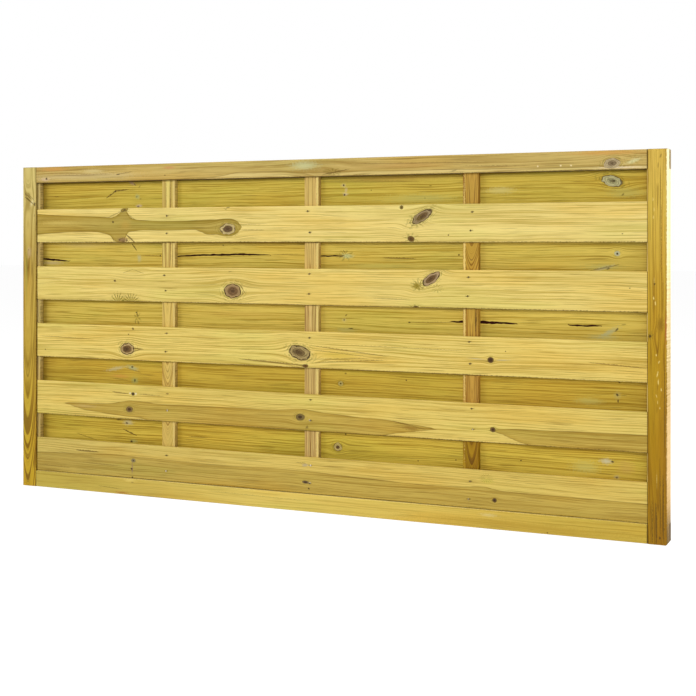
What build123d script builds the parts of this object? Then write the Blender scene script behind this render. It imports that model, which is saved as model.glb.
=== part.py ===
from build123d import *
import os

# Privacy fence panel, in millimetres.
# X runs along the panel from the left stile's outer face, Y from the seen face (-Y) to the far face,
# Z is up. The origin is on the left stile's outer face, at mid depth and mid height.

# Overall size
PANEL_LENGTH = 1800.0
PANEL_HEIGHT = 900.0

# Frame bars: two stiles and two rails, half lapped at the corners with the stiles in front
BAR_WIDTH = 45.0
BAR_DEPTH = 45.0
BAR_EDGE_RADIUS = 3.0
LAP_THICKNESS = 22.5
GROOVE_DEPTH = 12.0
GROOVE_LIP_RADIUS = 1.0
TENON_END_PLAY = 1.0

# Slats, on both faces of the battens
SLATS_PER_FACE = 5
SLAT_WIDTH = 94.0
SLAT_THICKNESS = 9.0
SLAT_EDGE_RADIUS = 2.0
SLAT_END_PLAY = 2.0
END_GAP = 74.0

# Battens, upright between the two layers of slats
MIDDLE_BATTENS = 3
BATTEN_WIDTH = 40.0
END_BATTEN_WIDTH = 16.0
BATTEN_THICKNESS = 16.0
BATTEN_EDGE_RADIUS = 1.5

# The slats and battens make a sandwich, and the stiles' grooves take its ends
GROOVE_WIDTH = BATTEN_THICKNESS + 2 * SLAT_THICKNESS
SLAT_MIDDLE_Y = (BATTEN_THICKNESS + SLAT_THICKNESS) / 2

# The rails' laps fill the back of each corner, and a stub tenon fills the stile's groove in front of them
LAP_MIDDLE_Y = (BAR_DEPTH - LAP_THICKNESS) / 2
LAP_FACE_Y = BAR_DEPTH / 2 - LAP_THICKNESS
STUB_THICKNESS = GROOVE_WIDTH / 2 + LAP_FACE_Y

# The clear opening inside the frame, and the slats' even spacing in it
INNER_LENGTH = PANEL_LENGTH - 2 * BAR_WIDTH
INNER_HEIGHT = PANEL_HEIGHT - 2 * BAR_WIDTH
RAIL_MIDDLE_Z = (PANEL_HEIGHT - BAR_WIDTH) / 2
SLAT_PITCH = (INNER_HEIGHT - END_GAP - SLAT_WIDTH) / (SLATS_PER_FACE - 1)
MIDDLE_X = PANEL_LENGTH / 2


def rounded_bar(width, depth, length, radius):
    """An upright bar on the origin with its four long edges rounded."""
    section = RectangleRounded(width, depth, radius)
    return Pos(0, 0, -length / 2) * extrude(section, length)


def stile():
    """The left stile: a full-height bar, grooved all down its inner face and notched behind for the rails."""
    bar = rounded_bar(BAR_WIDTH, BAR_DEPTH, PANEL_HEIGHT, BAR_EDGE_RADIUS)
    groove = Pos(BAR_WIDTH / 2 - GROOVE_DEPTH / 2, 0, 0) * Box(GROOVE_DEPTH, GROOVE_WIDTH, PANEL_HEIGHT)
    grooved = bar - groove
    lips = [
        edge
        for edge in grooved.edges().filter_by(Axis.Z)
        if abs(edge.center().X - BAR_WIDTH / 2) < GROOVE_LIP_RADIUS
        and abs(abs(edge.center().Y) - GROOVE_WIDTH / 2) < GROOVE_LIP_RADIUS
    ]
    notch = Box(BAR_WIDTH, LAP_THICKNESS, BAR_WIDTH)
    top_notch = Pos(0, LAP_MIDDLE_Y, RAIL_MIDDLE_Z) * notch
    bottom_notch = Pos(0, LAP_MIDDLE_Y, -RAIL_MIDDLE_Z) * notch
    return Pos(BAR_WIDTH / 2, 0, 0) * (fillet(lips, GROOVE_LIP_RADIUS) - top_notch - bottom_notch)


def rail():
    """A rail on the origin, along X.

    Its back half runs on over the stiles' notches to the panel's ends. Its front half stops between the
    stiles, but for a stub tenon at each end that fills the stile's groove.
    """
    bar = Rot(0, 90, 0) * rounded_bar(BAR_WIDTH, BAR_DEPTH, INNER_LENGTH, BAR_EDGE_RADIUS)
    whole = Rot(0, 90, 0) * rounded_bar(BAR_WIDTH, BAR_DEPTH, PANEL_LENGTH, BAR_EDGE_RADIUS)
    laps = whole & (Pos(0, LAP_MIDDLE_Y, 0) * Box(PANEL_LENGTH, LAP_THICKNESS, BAR_WIDTH))
    stub_length = INNER_LENGTH + 2 * (GROOVE_DEPTH - TENON_END_PLAY)
    stubs = Pos(0, LAP_FACE_Y - STUB_THICKNESS / 2, 0) * Box(stub_length, STUB_THICKNESS, BAR_WIDTH)
    return bar + laps + stubs


def slat():
    """A slat on the origin, along X, with eased long edges. Its ends stand in the stiles' grooves."""
    length = INNER_LENGTH + 2 * (GROOVE_DEPTH - SLAT_END_PLAY)
    return Rot(0, 90, 0) * rounded_bar(SLAT_WIDTH, SLAT_THICKNESS, length, SLAT_EDGE_RADIUS)


def batten(width):
    """An upright batten on the origin that reaches from rail to rail."""
    return rounded_bar(width, BATTEN_THICKNESS, INNER_HEIGHT, BATTEN_EDGE_RADIUS)


def mirrored(piece):
    """The same piece at the panel's other end."""
    return Pos(PANEL_LENGTH, 0, 0) * mirror(piece, Plane.YZ)


def frame_pieces():
    """The four bars round the panel."""
    left = stile()
    return {
        "left_stile": left,
        "right_stile": mirrored(left),
        "top_rail": Pos(MIDDLE_X, 0, RAIL_MIDDLE_Z) * rail(),
        "bottom_rail": Pos(MIDDLE_X, 0, -RAIL_MIDDLE_Z) * rail(),
    }


def batten_pieces():
    """An end batten in each stile's groove, and the middle battens at even steps between the stiles."""
    end_x = BAR_WIDTH - GROOVE_DEPTH + END_BATTEN_WIDTH / 2
    left_end = Pos(end_x, 0, 0) * batten(END_BATTEN_WIDTH)
    pieces = {"left_end_batten": left_end, "right_end_batten": mirrored(left_end)}
    step = INNER_LENGTH / (MIDDLE_BATTENS + 1)
    for number in range(1, MIDDLE_BATTENS + 1):
        x = BAR_WIDTH + number * step
        pieces[f"middle_batten_{number}"] = Pos(x, 0, 0) * batten(BATTEN_WIDTH)
    return pieces


def slat_pieces():
    """The front slats, spaced from the bottom rail up, and the back slats, from the top rail down.

    Slat 1 is the highest on each face. Each back slat closes the gap above the front slat of its number.
    """
    pieces = {}
    end_z = (INNER_HEIGHT - SLAT_WIDTH) / 2
    for index in range(SLATS_PER_FACE):
        front_z = (SLATS_PER_FACE - 1 - index) * SLAT_PITCH - end_z
        back_z = end_z - index * SLAT_PITCH
        pieces[f"front_slat_{index + 1}"] = Pos(MIDDLE_X, -SLAT_MIDDLE_Y, front_z) * slat()
        pieces[f"back_slat_{index + 1}"] = Pos(MIDDLE_X, SLAT_MIDDLE_Y, back_z) * slat()
    return pieces


def panel():
    """Every piece of the panel, by the name of its node."""
    return {**frame_pieces(), **batten_pieces(), **slat_pieces()}


os.makedirs("parts", exist_ok=True)
for node, piece in panel().items():
    export_step(piece, f"parts/{node}.step")
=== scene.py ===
import math
from collections import namedtuple
from dataclasses import dataclass, replace

import bmesh
import bpy
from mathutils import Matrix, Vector, noise


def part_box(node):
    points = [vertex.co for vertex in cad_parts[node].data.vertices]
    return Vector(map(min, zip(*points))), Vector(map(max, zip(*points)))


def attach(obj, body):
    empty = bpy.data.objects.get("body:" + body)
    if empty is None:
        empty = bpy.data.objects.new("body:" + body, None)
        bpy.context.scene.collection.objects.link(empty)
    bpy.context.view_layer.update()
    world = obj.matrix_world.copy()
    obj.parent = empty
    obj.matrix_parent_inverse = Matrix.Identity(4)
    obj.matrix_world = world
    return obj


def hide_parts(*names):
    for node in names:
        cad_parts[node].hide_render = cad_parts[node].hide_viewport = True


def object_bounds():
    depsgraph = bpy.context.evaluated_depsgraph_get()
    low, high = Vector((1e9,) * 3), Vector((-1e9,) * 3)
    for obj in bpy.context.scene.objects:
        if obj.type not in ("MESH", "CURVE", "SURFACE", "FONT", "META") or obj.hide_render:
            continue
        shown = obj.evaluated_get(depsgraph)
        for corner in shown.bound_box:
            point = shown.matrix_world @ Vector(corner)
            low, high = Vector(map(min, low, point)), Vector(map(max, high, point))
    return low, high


# Looks of the privacy fence panel, in metres.
# x runs along the panel from the left stile, -y is the seen face, z is up with the panel's middle at 0.
# The boards' marks are placed by how far along the panel and how high above its foot they lie.

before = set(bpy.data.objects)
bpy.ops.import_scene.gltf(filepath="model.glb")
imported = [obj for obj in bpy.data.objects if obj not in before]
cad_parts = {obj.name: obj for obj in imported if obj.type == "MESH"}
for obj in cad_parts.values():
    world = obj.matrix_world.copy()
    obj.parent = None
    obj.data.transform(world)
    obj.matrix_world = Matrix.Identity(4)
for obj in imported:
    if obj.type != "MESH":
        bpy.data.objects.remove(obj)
cad_low, cad_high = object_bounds()
PANEL_LENGTH = cad_high.x - cad_low.x
PANEL_HEIGHT = cad_high.z - cad_low.z
FOOT_Z = cad_low.z

# The photograph's camera, which stands level and looks past the panel's right half
CAMERA_PLACE = Vector((2.3144, -2.9605, 0.2337))
CAMERA_TURN = math.radians(23.96)
CAMERA_LENS = 66.14
CAMERA_SENSOR = 36.0
CAMERA_SHIFT_DOWN = 0.1496

# Planed timber: its eased edges, the cells it is cut into and how far its faces dip
SLAT_EDGE = 0.002
BATTEN_EDGE = 0.0015
BAR_EDGE = 0.003
END_EASE = 0.0006
CELL_ALONG = 0.006
CELL_ACROSS = 0.004
UNEVEN = 0.0003
DIPS_ALONG = 6.0
DIPS_ACROSS = 14.0
SHARP_ANGLE = math.radians(38)

# The frame's joints, and the panel's worn lower right corner
GROOVE_LIP = 0.001
GROOVE_DEPTH = 0.012
STUB_LENGTH = 0.011
LAP_DEPTH = 0.0225
CORNER_WEAR = 0.006
WEAR_STEPS = 8
CUT_BEYOND = 0.002

# Nails
NAIL_RADIUS = 0.0027
NAIL_HEIGHT = 0.0012
NAIL_LEAN = 0.10
NAIL_SUNK = 0.0002
NAIL_INSET = 0.024

# How far a board's rings slant through it and how far a knot parts them, how many lumps and ragged tufts
# there are to a metre, and the casts of colour that drift over the timber
DEPTH_SLANT = 0.8
KNOT_PARTING = 0.8
LUMPS = 75.0
TUFTS = 230.0
ORANGE_CAST = (1.0, 0.93, 0.78, 1.0)
GREEN_CAST = (0.94, 1.0, 0.94, 1.0)

# A cracked slat's openings are painted dark inside as shade, but not this near its edges
CRACK_INSET = 0.004

# The light from all round, and the floor just under the panel's foot, which glows so that it looks white
AMBIENT = 0.17
FLOOR_REACH = 30.0
FLOOR_GAP = 0.0005
FLOOR_GLOW = 1.30
FLOOR_GLOW_SHARE = 0.72

# The faces that show, and how far along the panel the left stile ends and the rails begin
SLAT_FACE_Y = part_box("front_slat_1")[0].y
BACK_SLAT_FACE_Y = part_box("back_slat_1")[0].y
FAR_FACE_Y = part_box("back_slat_1")[1].y
BATTEN_FACE_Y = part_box("middle_batten_1")[0].y
BAR_FACE_Y = cad_low.y
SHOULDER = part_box("left_stile")[1].x
SHOULDERS = (SHOULDER, PANEL_LENGTH - SHOULDER)

# What runs the whole way along or up a board is centred here and reaches past both its ends
MID_LENGTH = PANEL_LENGTH / 2
MID_HEIGHT = PANEL_HEIGHT / 2
WHOLE = 2.0


def paint(red, green, blue):
    """A colour as a screen shows it, from 0 to 255, as the linear colour that a shader takes."""
    shares = (channel / 255 for channel in (red, green, blue))
    linear = [share / 12.92 if share <= 0.04045 else ((share + 0.055) / 1.055) ** 2.4 for share in shares]
    return (*linear, 1.0)


class Graph:
    """A node tree being built. Any input takes a plain value or another node's output."""

    def __init__(self, tree):
        self.tree = tree

    def feed(self, socket, value):
        if isinstance(value, bpy.types.NodeSocket):
            self.tree.links.new(value, socket)
        else:
            socket.default_value = value

    def add(self, kind, inputs=None, **settings):
        node = self.tree.nodes.new(kind)
        for name, value in settings.items():
            setattr(node, name, value)
        for name, value in (inputs or {}).items():
            self.feed(node.inputs[name], value)
        return node

    def math(self, operation, *values, clamp=False):
        node = self.add("ShaderNodeMath", operation=operation, use_clamp=clamp)
        for socket, value in zip(node.inputs, values):
            self.feed(socket, value)
        return node.outputs[0]

    def total(self, values):
        result = values[0]
        for value in values[1:]:
            result = self.math("ADD", result, value)
        return result

    def squares(self, first, second):
        """The sum of two values' squares."""
        return self.math("ADD", self.math("MULTIPLY", first, first), self.math("MULTIPLY", second, second))

    def arch(self, share):
        """0 at both ends of a share, and 1 in its middle."""
        return self.math("MULTIPLY", self.math("MULTIPLY", share, self.math("SUBTRACT", 1.0, share)), 4.0)

    def shaken(self, value, cloud, reach):
        """A value moved by a cloud, at most half of reach either way."""
        return self.math("MULTIPLY_ADD", self.math("SUBTRACT", cloud, 0.5), reach, value)

    def split(self, vector):
        return self.add("ShaderNodeSeparateXYZ", {0: vector}).outputs[:3]

    def join(self, x, y, z):
        return self.add("ShaderNodeCombineXYZ", {0: x, 1: y, 2: z}).outputs[0]

    def step(self, value, start, end, low=0.0, high=1.0):
        """Low up to start, high from end on, and a smooth step between them."""
        inputs = {0: value, 1: start, 2: end, 3: low, 4: high}
        return self.add("ShaderNodeMapRange", inputs, interpolation_type="SMOOTHSTEP").outputs[0]

    def cloud(self, vector, scale=1.0, detail=2.0, rough=0.5):
        inputs = {"Vector": vector, "Scale": scale, "Detail": detail, "Roughness": rough}
        return self.add("ShaderNodeTexNoise", inputs).outputs["Fac"]

    def veins(self, x, y, detail=2.0):
        """A flat cloud, which costs less than a solid one. The timber's streaks are read from it."""
        inputs = {"Vector": self.join(x, y, 0.0), "Scale": 1.0, "Detail": detail, "Roughness": 0.5}
        return self.add("ShaderNodeTexNoise", inputs, noise_dimensions="2D").outputs["Fac"]

    def mix(self, share, first, second, blend="MIX"):
        inputs = {0: share, 6: first, 7: second}
        return self.add("ShaderNodeMix", inputs, data_type="RGBA", blend_type=blend).outputs[2]

    def line(self, value, points):
        """A smooth line through given points, read at value."""
        node = self.add("ShaderNodeFloatCurve", {1: value})
        node.mapping.use_clip = False
        curve = node.mapping.curves[0]
        while len(curve.points) < len(points):
            curve.points.new(0.5, 0.5)
        for point, place in zip(curve.points, points):
            point.location = place
            point.handle_type = "AUTO_CLAMPED"
        node.mapping.extend = "HORIZONTAL"
        node.mapping.update()
        return node.outputs[0]

    def seen_straight(self):
        """1 where the camera, a gloss or a clear thing looks, and 0 for light on its way round the room."""
        path = self.add("ShaderNodeLightPath").outputs
        seen = self.math("MAXIMUM", path["Is Camera Ray"], path["Is Glossy Ray"])
        return self.math("MAXIMUM", seen, path["Is Transmission Ray"])


def new_material(name):
    """An empty node material and its graph."""
    material = bpy.data.materials.new(name)
    material.use_nodes = True
    material.node_tree.nodes.clear()
    return material, Graph(material.node_tree)


SOCKETS = {
    "float": "NodeSocketFloat",
    "int": "NodeSocketInt",
    "vector": "NodeSocketVector",
    "colour": "NodeSocketColor",
    "material": "NodeSocketMaterial",
    "shape": "NodeSocketGeometry",
}


def new_tree(name, kind, inputs, outputs):
    """A node group with named sockets: its graph, its inputs by name and its output node."""
    tree = bpy.data.node_groups.new(name, kind)
    for label, form in inputs.items():
        tree.interface.new_socket(name=label, in_out="INPUT", socket_type=SOCKETS[form])
    for label, form in outputs.items():
        tree.interface.new_socket(name=label, in_out="OUTPUT", socket_type=SOCKETS[form])
    graph = Graph(tree)
    given = graph.add("NodeGroupInput").outputs
    return graph, given, graph.add("NodeGroupOutput")


def floats(*names):
    """Sockets of plain numbers, by their names."""
    return {name: "float" for name in names}


def close_tree(g, out, shape, material):
    """Ends a shape's tree: its copies made real, and its material set."""
    shape = g.add("GeometryNodeRealizeInstances", {"Geometry": shape}).outputs[0]
    shape = g.add("GeometryNodeSetMaterial", {"Geometry": shape, "Material": material}).outputs[0]
    g.feed(out.inputs[0], shape)
    return g.tree


def planed_board_tree():
    """A board along x with eased long edges, cut into even cells, uneven by a hair and put in its place."""
    inputs = {"Shape": "shape"} | floats("Length", "Width", "Thickness", "Edge Radius")
    inputs |= floats("Cell Along", "Cell Across", "Unevenness", "Seed")
    inputs |= {"Turn": "vector", "Place": "vector", "Timber": "material"}
    g, given, out = new_tree("planed_board", "GeometryNodeTree", inputs, {"Shape": "shape"})
    half = g.math("MULTIPLY", given["Length"], 0.5)
    ends = {"Start": g.join(g.math("MULTIPLY", half, -1.0), 0.0, 0.0), "End": g.join(half, 0.0, 0.0)}
    line = g.add("GeometryNodeCurvePrimitiveLine", ends).outputs[0]
    cells = g.math("CEIL", g.math("DIVIDE", given["Length"], given["Cell Along"]))
    count = g.math("ADD", cells, 1.0)
    path = g.add("GeometryNodeResampleCurve", {"Curve": line, "Count": count}, mode="COUNT").outputs[0]

    # The board's section, whose sides are cut as finely as the cells are wide
    size = {"Width": given["Thickness"], "Height": given["Width"]}
    outline = g.add("GeometryNodeCurvePrimitiveQuadrilateral", size).outputs[0]
    corner = {"Curve": outline, "Count": 3, "Radius": given["Edge Radius"]}
    outline = g.add("GeometryNodeFilletCurve", corner, mode="POLY").outputs[0]
    here = g.add("GeometryNodeInputPosition").outputs[0]
    following = g.add("GeometryNodeOffsetPointInCurve", {"Offset": 1}).outputs["Point Index"]
    reading = {"Value": here, "Index": following}
    there = g.add("GeometryNodeFieldAtIndex", reading, data_type="FLOAT_VECTOR", domain="POINT").outputs[0]
    run = g.add("ShaderNodeVectorMath", {0: here, 1: there}, operation="DISTANCE").outputs["Value"]
    cuts = g.math("FLOOR", g.math("DIVIDE", run, given["Cell Across"]))
    outline = g.add("GeometryNodeSubdivideCurve", {"Curve": outline, "Cuts": cuts}).outputs[0]

    # Swept along the board, its sides sink by a share of the unevenness and its ends stay flat
    swept = {"Curve": path, "Profile Curve": outline, "Fill Caps": True}
    board = g.add("GeometryNodeCurveToMesh", swept).outputs[0]
    x, y, z = g.split(here)
    waver = {"Vector": g.join(g.math("MULTIPLY", x, DIPS_ALONG), y, g.math("MULTIPLY", z, DIPS_ACROSS))}
    waver |= {"W": given["Seed"], "Scale": 1.6, "Detail": 2.0}
    share = g.add("ShaderNodeTexNoise", waver, noise_dimensions="4D").outputs["Fac"]
    dip = g.math("MULTIPLY", g.math("MULTIPLY", share, given["Unevenness"]), -1.0)
    normal = g.add("GeometryNodeInputNormal").outputs[0]
    side = g.add("ShaderNodeVectorMath", {0: normal, 1: (0.0, 1.0, 1.0)}, operation="MULTIPLY").outputs[0]
    dent = g.add("ShaderNodeVectorMath", {0: side, "Scale": dip}, operation="SCALE").outputs[0]
    board = g.add("GeometryNodeSetPosition", {"Geometry": board, "Offset": dent}).outputs[0]
    turn = g.add("FunctionNodeEulerToRotation", {0: given["Turn"]}).outputs[0]
    placed = {"Geometry": board, "Translation": given["Place"], "Rotation": turn}
    board = g.add("GeometryNodeTransform", placed).outputs[0]
    return close_tree(g, out, board, given["Timber"])


def open_shake_tree():
    """Opens a drying crack along x in a level board: one row of cells sinks between two lips."""
    inputs = {"Shape": "shape"} | floats("Start", "End", "Start Height", "End Height", "Rise")
    inputs |= floats("Width", "Depth", "Face", "First Row", "Row Step", "Seed") | {"Timber": "material"}
    g, given, out = new_tree("open_shake", "GeometryNodeTree", inputs, {"Shape": "shape"})
    here = g.add("GeometryNodeInputPosition").outputs[0]
    x, y, z = g.split(here)
    length = g.math("SUBTRACT", given["End"], given["Start"])
    share = g.math("DIVIDE", g.math("SUBTRACT", x, given["Start"]), length)
    held = g.math("ADD", share, 0.0, clamp=True)
    arch = g.arch(held)

    def waver(scale, seed):
        return g.cloud(g.join(g.math("MULTIPLY", x, scale), given["Seed"], seed), detail=1.0)

    # The crack's own height and half width at each place along it
    wander, raggedness, least_gape = 0.004, 1.4, 0.00015
    fall = g.math("SUBTRACT", given["End Height"], given["Start Height"])
    height = g.math("MULTIPLY_ADD", fall, held, given["Start Height"])
    height = g.math("MULTIPLY_ADD", given["Rise"], arch, height)
    height = g.shaken(height, waver(60.0, 0.0), wander)
    ragged = g.shaken(1.0, waver(110.0, 7.0), raggedness)
    gape = g.math("MULTIPLY", g.math("MULTIPLY", given["Width"], 0.5), g.math("POWER", arch, 0.45))
    gape = g.math("MAXIMUM", g.math("MULTIPLY", gape, ragged), least_gape)

    # The row of cells nearest to the crack's middle opens, the next rows are its lips, and six rows give way
    middle = g.math("MULTIPLY", g.math("ADD", given["Start Height"], given["End Height"]), 0.5)
    middle = g.math("MULTIPLY_ADD", given["Rise"], 0.6, middle)
    above = g.math("SUBTRACT", middle, given["First Row"])
    row = g.math("ROUND", g.math("DIVIDE", above, given["Row Step"]))
    level = g.math("MULTIPLY_ADD", row, given["Row Step"], given["First Row"])
    away = g.math("ROUND", g.math("DIVIDE", g.math("SUBTRACT", z, level), given["Row Step"]))
    distance = g.math("ABSOLUTE", away)
    at_middle = g.math("LESS_THAN", distance, 0.5)
    at_lip = g.math("COMPARE", distance, 1.0, 0.1)
    beyond = g.math("COMPARE", distance, 2.0, 0.1)
    follow = g.step(distance, 1.0, 6.0, 1.0, 0.0)
    pull = g.math("MULTIPLY", g.math("SUBTRACT", height, level), follow)
    squeeze = g.math("MULTIPLY_ADD", beyond, 0.35, at_lip)
    pinch = g.math("MULTIPLY", g.math("SUBTRACT", gape, given["Row Step"]), squeeze)
    shift = g.math("MULTIPLY_ADD", pinch, g.math("SIGN", away), pull)
    sink = g.math("MULTIPLY", g.math("MULTIPLY", at_middle, given["Depth"]), g.math("POWER", arch, 0.5))

    in_length = g.math("MULTIPLY", g.math("GREATER_THAN", share, 0.0), g.math("LESS_THAN", share, 1.0))
    on_face = g.math("COMPARE", y, given["Face"], 0.001)
    chosen = g.math("MULTIPLY", in_length, on_face)
    moved = {"Geometry": given["Shape"], "Selection": chosen, "Offset": g.join(0.0, sink, shift)}
    board = g.add("GeometryNodeSetPosition", moved).outputs[0]
    return close_tree(g, out, board, given["Timber"])


def nail_tree():
    """A flat nail head on each given point, each a little off true."""
    inputs = {"Shape": "shape"} | floats("Head Radius", "Head Height", "Lean")
    inputs |= {"Facing": "vector", "Seed": "int", "Metal": "material"}
    g, given, out = new_tree("nail_heads", "GeometryNodeTree", inputs, {"Shape": "shape"})
    head = {
        "Vertices": 14,
        "Radius Top": g.math("MULTIPLY", given["Head Radius"], 0.72),
        "Radius Bottom": given["Head Radius"],
        "Depth": given["Head Height"],
    }
    head = g.add("GeometryNodeMeshCone", head).outputs[0]
    lean = given["Lean"]
    low = g.join(g.math("MULTIPLY", lean, -1.0), g.math("MULTIPLY", lean, -1.0), 0.0)
    tilt = g.add("FunctionNodeRandomValue", data_type="FLOAT_VECTOR")
    g.feed(tilt.inputs[0], low)
    g.feed(tilt.inputs[1], g.join(lean, lean, 6.28))
    g.feed(tilt.inputs["Seed"], given["Seed"])
    turned = {0: tilt.outputs[0], 1: given["Facing"]}
    turned = g.add("ShaderNodeVectorMath", turned, operation="ADD").outputs[0]
    turn = g.add("FunctionNodeEulerToRotation", {0: turned}).outputs[0]
    placed = {"Points": given["Shape"], "Instance": head, "Rotation": turn}
    heads = g.add("GeometryNodeInstanceOnPoints", placed).outputs[0]
    return close_tree(g, out, heads, given["Metal"])


PLANED_BOARD = planed_board_tree()
OPEN_SHAKE = open_shake_tree()
NAIL_HEADS = nail_tree()


def give(piece, tree, **values):
    """Adds a tree's modifier to a piece, with its inputs set by their names."""
    modifier = piece.modifiers.new(tree.name, "NODES")
    modifier.node_group = tree
    for item in tree.interface.items_tree:
        key = item.name.lower().replace(" ", "_")
        if item.in_out == "INPUT" and key in values:
            modifier[item.identifier] = values.pop(key)
    if values:
        raise ValueError(f"{tree.name} has no input named {sorted(values)}")


def smooth(mesh):
    """Rounds off the mesh's shading, except over its sharp edges."""
    mesh.polygons.foreach_set("use_smooth", [True] * len(mesh.polygons))
    mesh.set_sharp_from_angle(angle=SHARP_ANGLE)


def settle(piece):
    """Turns what a piece's modifiers make into its own plain mesh."""
    bpy.context.view_layer.update()
    grown = piece.evaluated_get(bpy.context.evaluated_depsgraph_get())
    mesh = bpy.data.meshes.new_from_object(grown)
    piece.modifiers.clear()
    piece.data = mesh
    mesh.name = piece.name
    smooth(mesh)


def new_piece(name, mesh=None):
    """A new object in the scene, with a mesh of its own if none is given."""
    piece = bpy.data.objects.new(name, mesh or bpy.data.meshes.new(name))
    bpy.context.scene.collection.objects.link(piece)
    return piece


def belongs(piece, slot, *nodes):
    """Hands a finished piece to the frame."""
    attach(piece, "root")
    if nodes:
        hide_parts(*nodes)


# Marks in the timber. A mark's place is along the board's grain and across it, long and high are half its
# size in those two directions, and tilt turns it. Depth, share and rim say how strongly it shows.
# A knot's core is the colour of its inner part, inner that part's share of it, and skin the colour round it.
# Lift is how far a knot parts the grain, and collar how pale the timber beside it is. A swell parts it alone.
Knot = namedtuple(
    "Knot",
    "along across long high tilt core skin inner rim lift collar",
    defaults=(0.62, 1.0, 1.0, 0.2),
)
Swell = namedtuple("Swell", "along across long high lift", defaults=(1.0,))
Fan = namedtuple("Fan", "along across long high rays depth", defaults=(10.0, 0.6))
Spot = namedtuple("Spot", "along across long high tilt depth", defaults=(0.0, 1.0))
Streak = namedtuple("Streak", "start start_across end end_across width depth", defaults=(0.9,))
Patch = namedtuple("Patch", "along across long high colour share tilt", defaults=(0.5, 0.0))
Shake = namedtuple("Shake", "start start_height end end_height rise width depth")
MARKS = ("knots", "swells", "fans", "spots", "streaks", "patches")

KNOT_MAUVE = paint(160, 138, 98)
KNOT_GREY = paint(150, 136, 92)
KNOT_COLLAR = paint(236, 216, 138)
BARK = paint(58, 36, 10)
PITCH = paint(84, 60, 14)
GREEN_GRAIN = paint(120, 108, 30)
# Painted shade inside the open cracks
CRACK_SHADE = paint(62, 22, 14)
# Painted shadow and grime along the joints
JOINT_SHADOW_AND_DIRT = paint(84, 62, 14)


@dataclass(frozen=True)
class Board:
    """One board's look."""

    # Early wood and late wood, and a number that sets this board's grain apart from the others'
    sap: tuple
    late: tuple
    seed: float
    # The heartwood: its share of the sapwood's colour, and the lines of its top and foot as (along, across)
    heart: tuple = (0.72, 0.66, 0.55)
    tops: tuple = ()
    foots: tuple = ()
    # The rings' width, how strongly they show, how far the grain wanders, and dark bands near the foot
    ring: float = 0.0055
    contrast: float = 1.0
    wave: float = 0.012
    bands: float = 0.0
    # Where across the board the grain is centred, how its arches climb along it, and how round their tips are
    centre: float = 0.0
    climb: tuple = ()
    pith: float = 0.003
    # Shares of the colour at places along the board, joints darkened by painted shadow and grime, sawn ends
    # and their colour, and where across the board its cracks may lie, which are painted dark inside as shade
    tones: tuple = ()
    joints: tuple = ()
    ends: tuple = ()
    end_tone: tuple = ()
    cracks: tuple = ()
    # What lies on it or in it
    knots: tuple = ()
    swells: tuple = ()
    fans: tuple = ()
    spots: tuple = ()
    streaks: tuple = ()
    patches: tuple = ()


def oval_reach(g, given, along, across):
    """A point's place in an oval's own half sizes, along and across it, and its distance in them."""
    ahead = g.math("SUBTRACT", given["Along"], given[along])
    above = g.math("SUBTRACT", given["Across"], given[across])
    cos, sin = g.math("COSINE", given["Tilt"]), g.math("SINE", given["Tilt"])
    a = g.math("ADD", g.math("MULTIPLY", ahead, cos), g.math("MULTIPLY", above, sin))
    b = g.math("SUBTRACT", g.math("MULTIPLY", above, cos), g.math("MULTIPLY", ahead, sin))
    a = g.math("DIVIDE", a, given["Half Length"])
    b = g.math("DIVIDE", b, given["Half Height"])
    return a, b, above, g.math("SQRT", g.squares(a, b))


def knot_place_group():
    """How far a point is from a knot, in knot sizes, on what side of it, and how far it parts the grain."""
    inputs = floats("Along", "Across", "Lumps", "Knot Along", "Knot Across", "Half Length", "Half Height")
    inputs |= floats("Tilt")
    outputs = floats("Reach", "Ahead", "Above", "Parting")
    g, given, out = new_tree("knot_place", "ShaderNodeTree", inputs, outputs)
    a, b, above, plain = oval_reach(g, given, "Knot Along", "Knot Across")
    spread = g.squares(g.math("DIVIDE", a, 1.9), g.math("DIVIDE", b, 1.7))
    fade = g.math("EXPONENT", g.math("MULTIPLY", spread, -1.0))
    g.feed(out.inputs["Reach"], g.math("MULTIPLY", plain, g.shaken(1.0, given["Lumps"], 0.42)))
    g.feed(out.inputs["Ahead"], a)
    g.feed(out.inputs["Above"], b)
    g.feed(out.inputs["Parting"], g.math("MULTIPLY", above, fade))
    return g.tree


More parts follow.
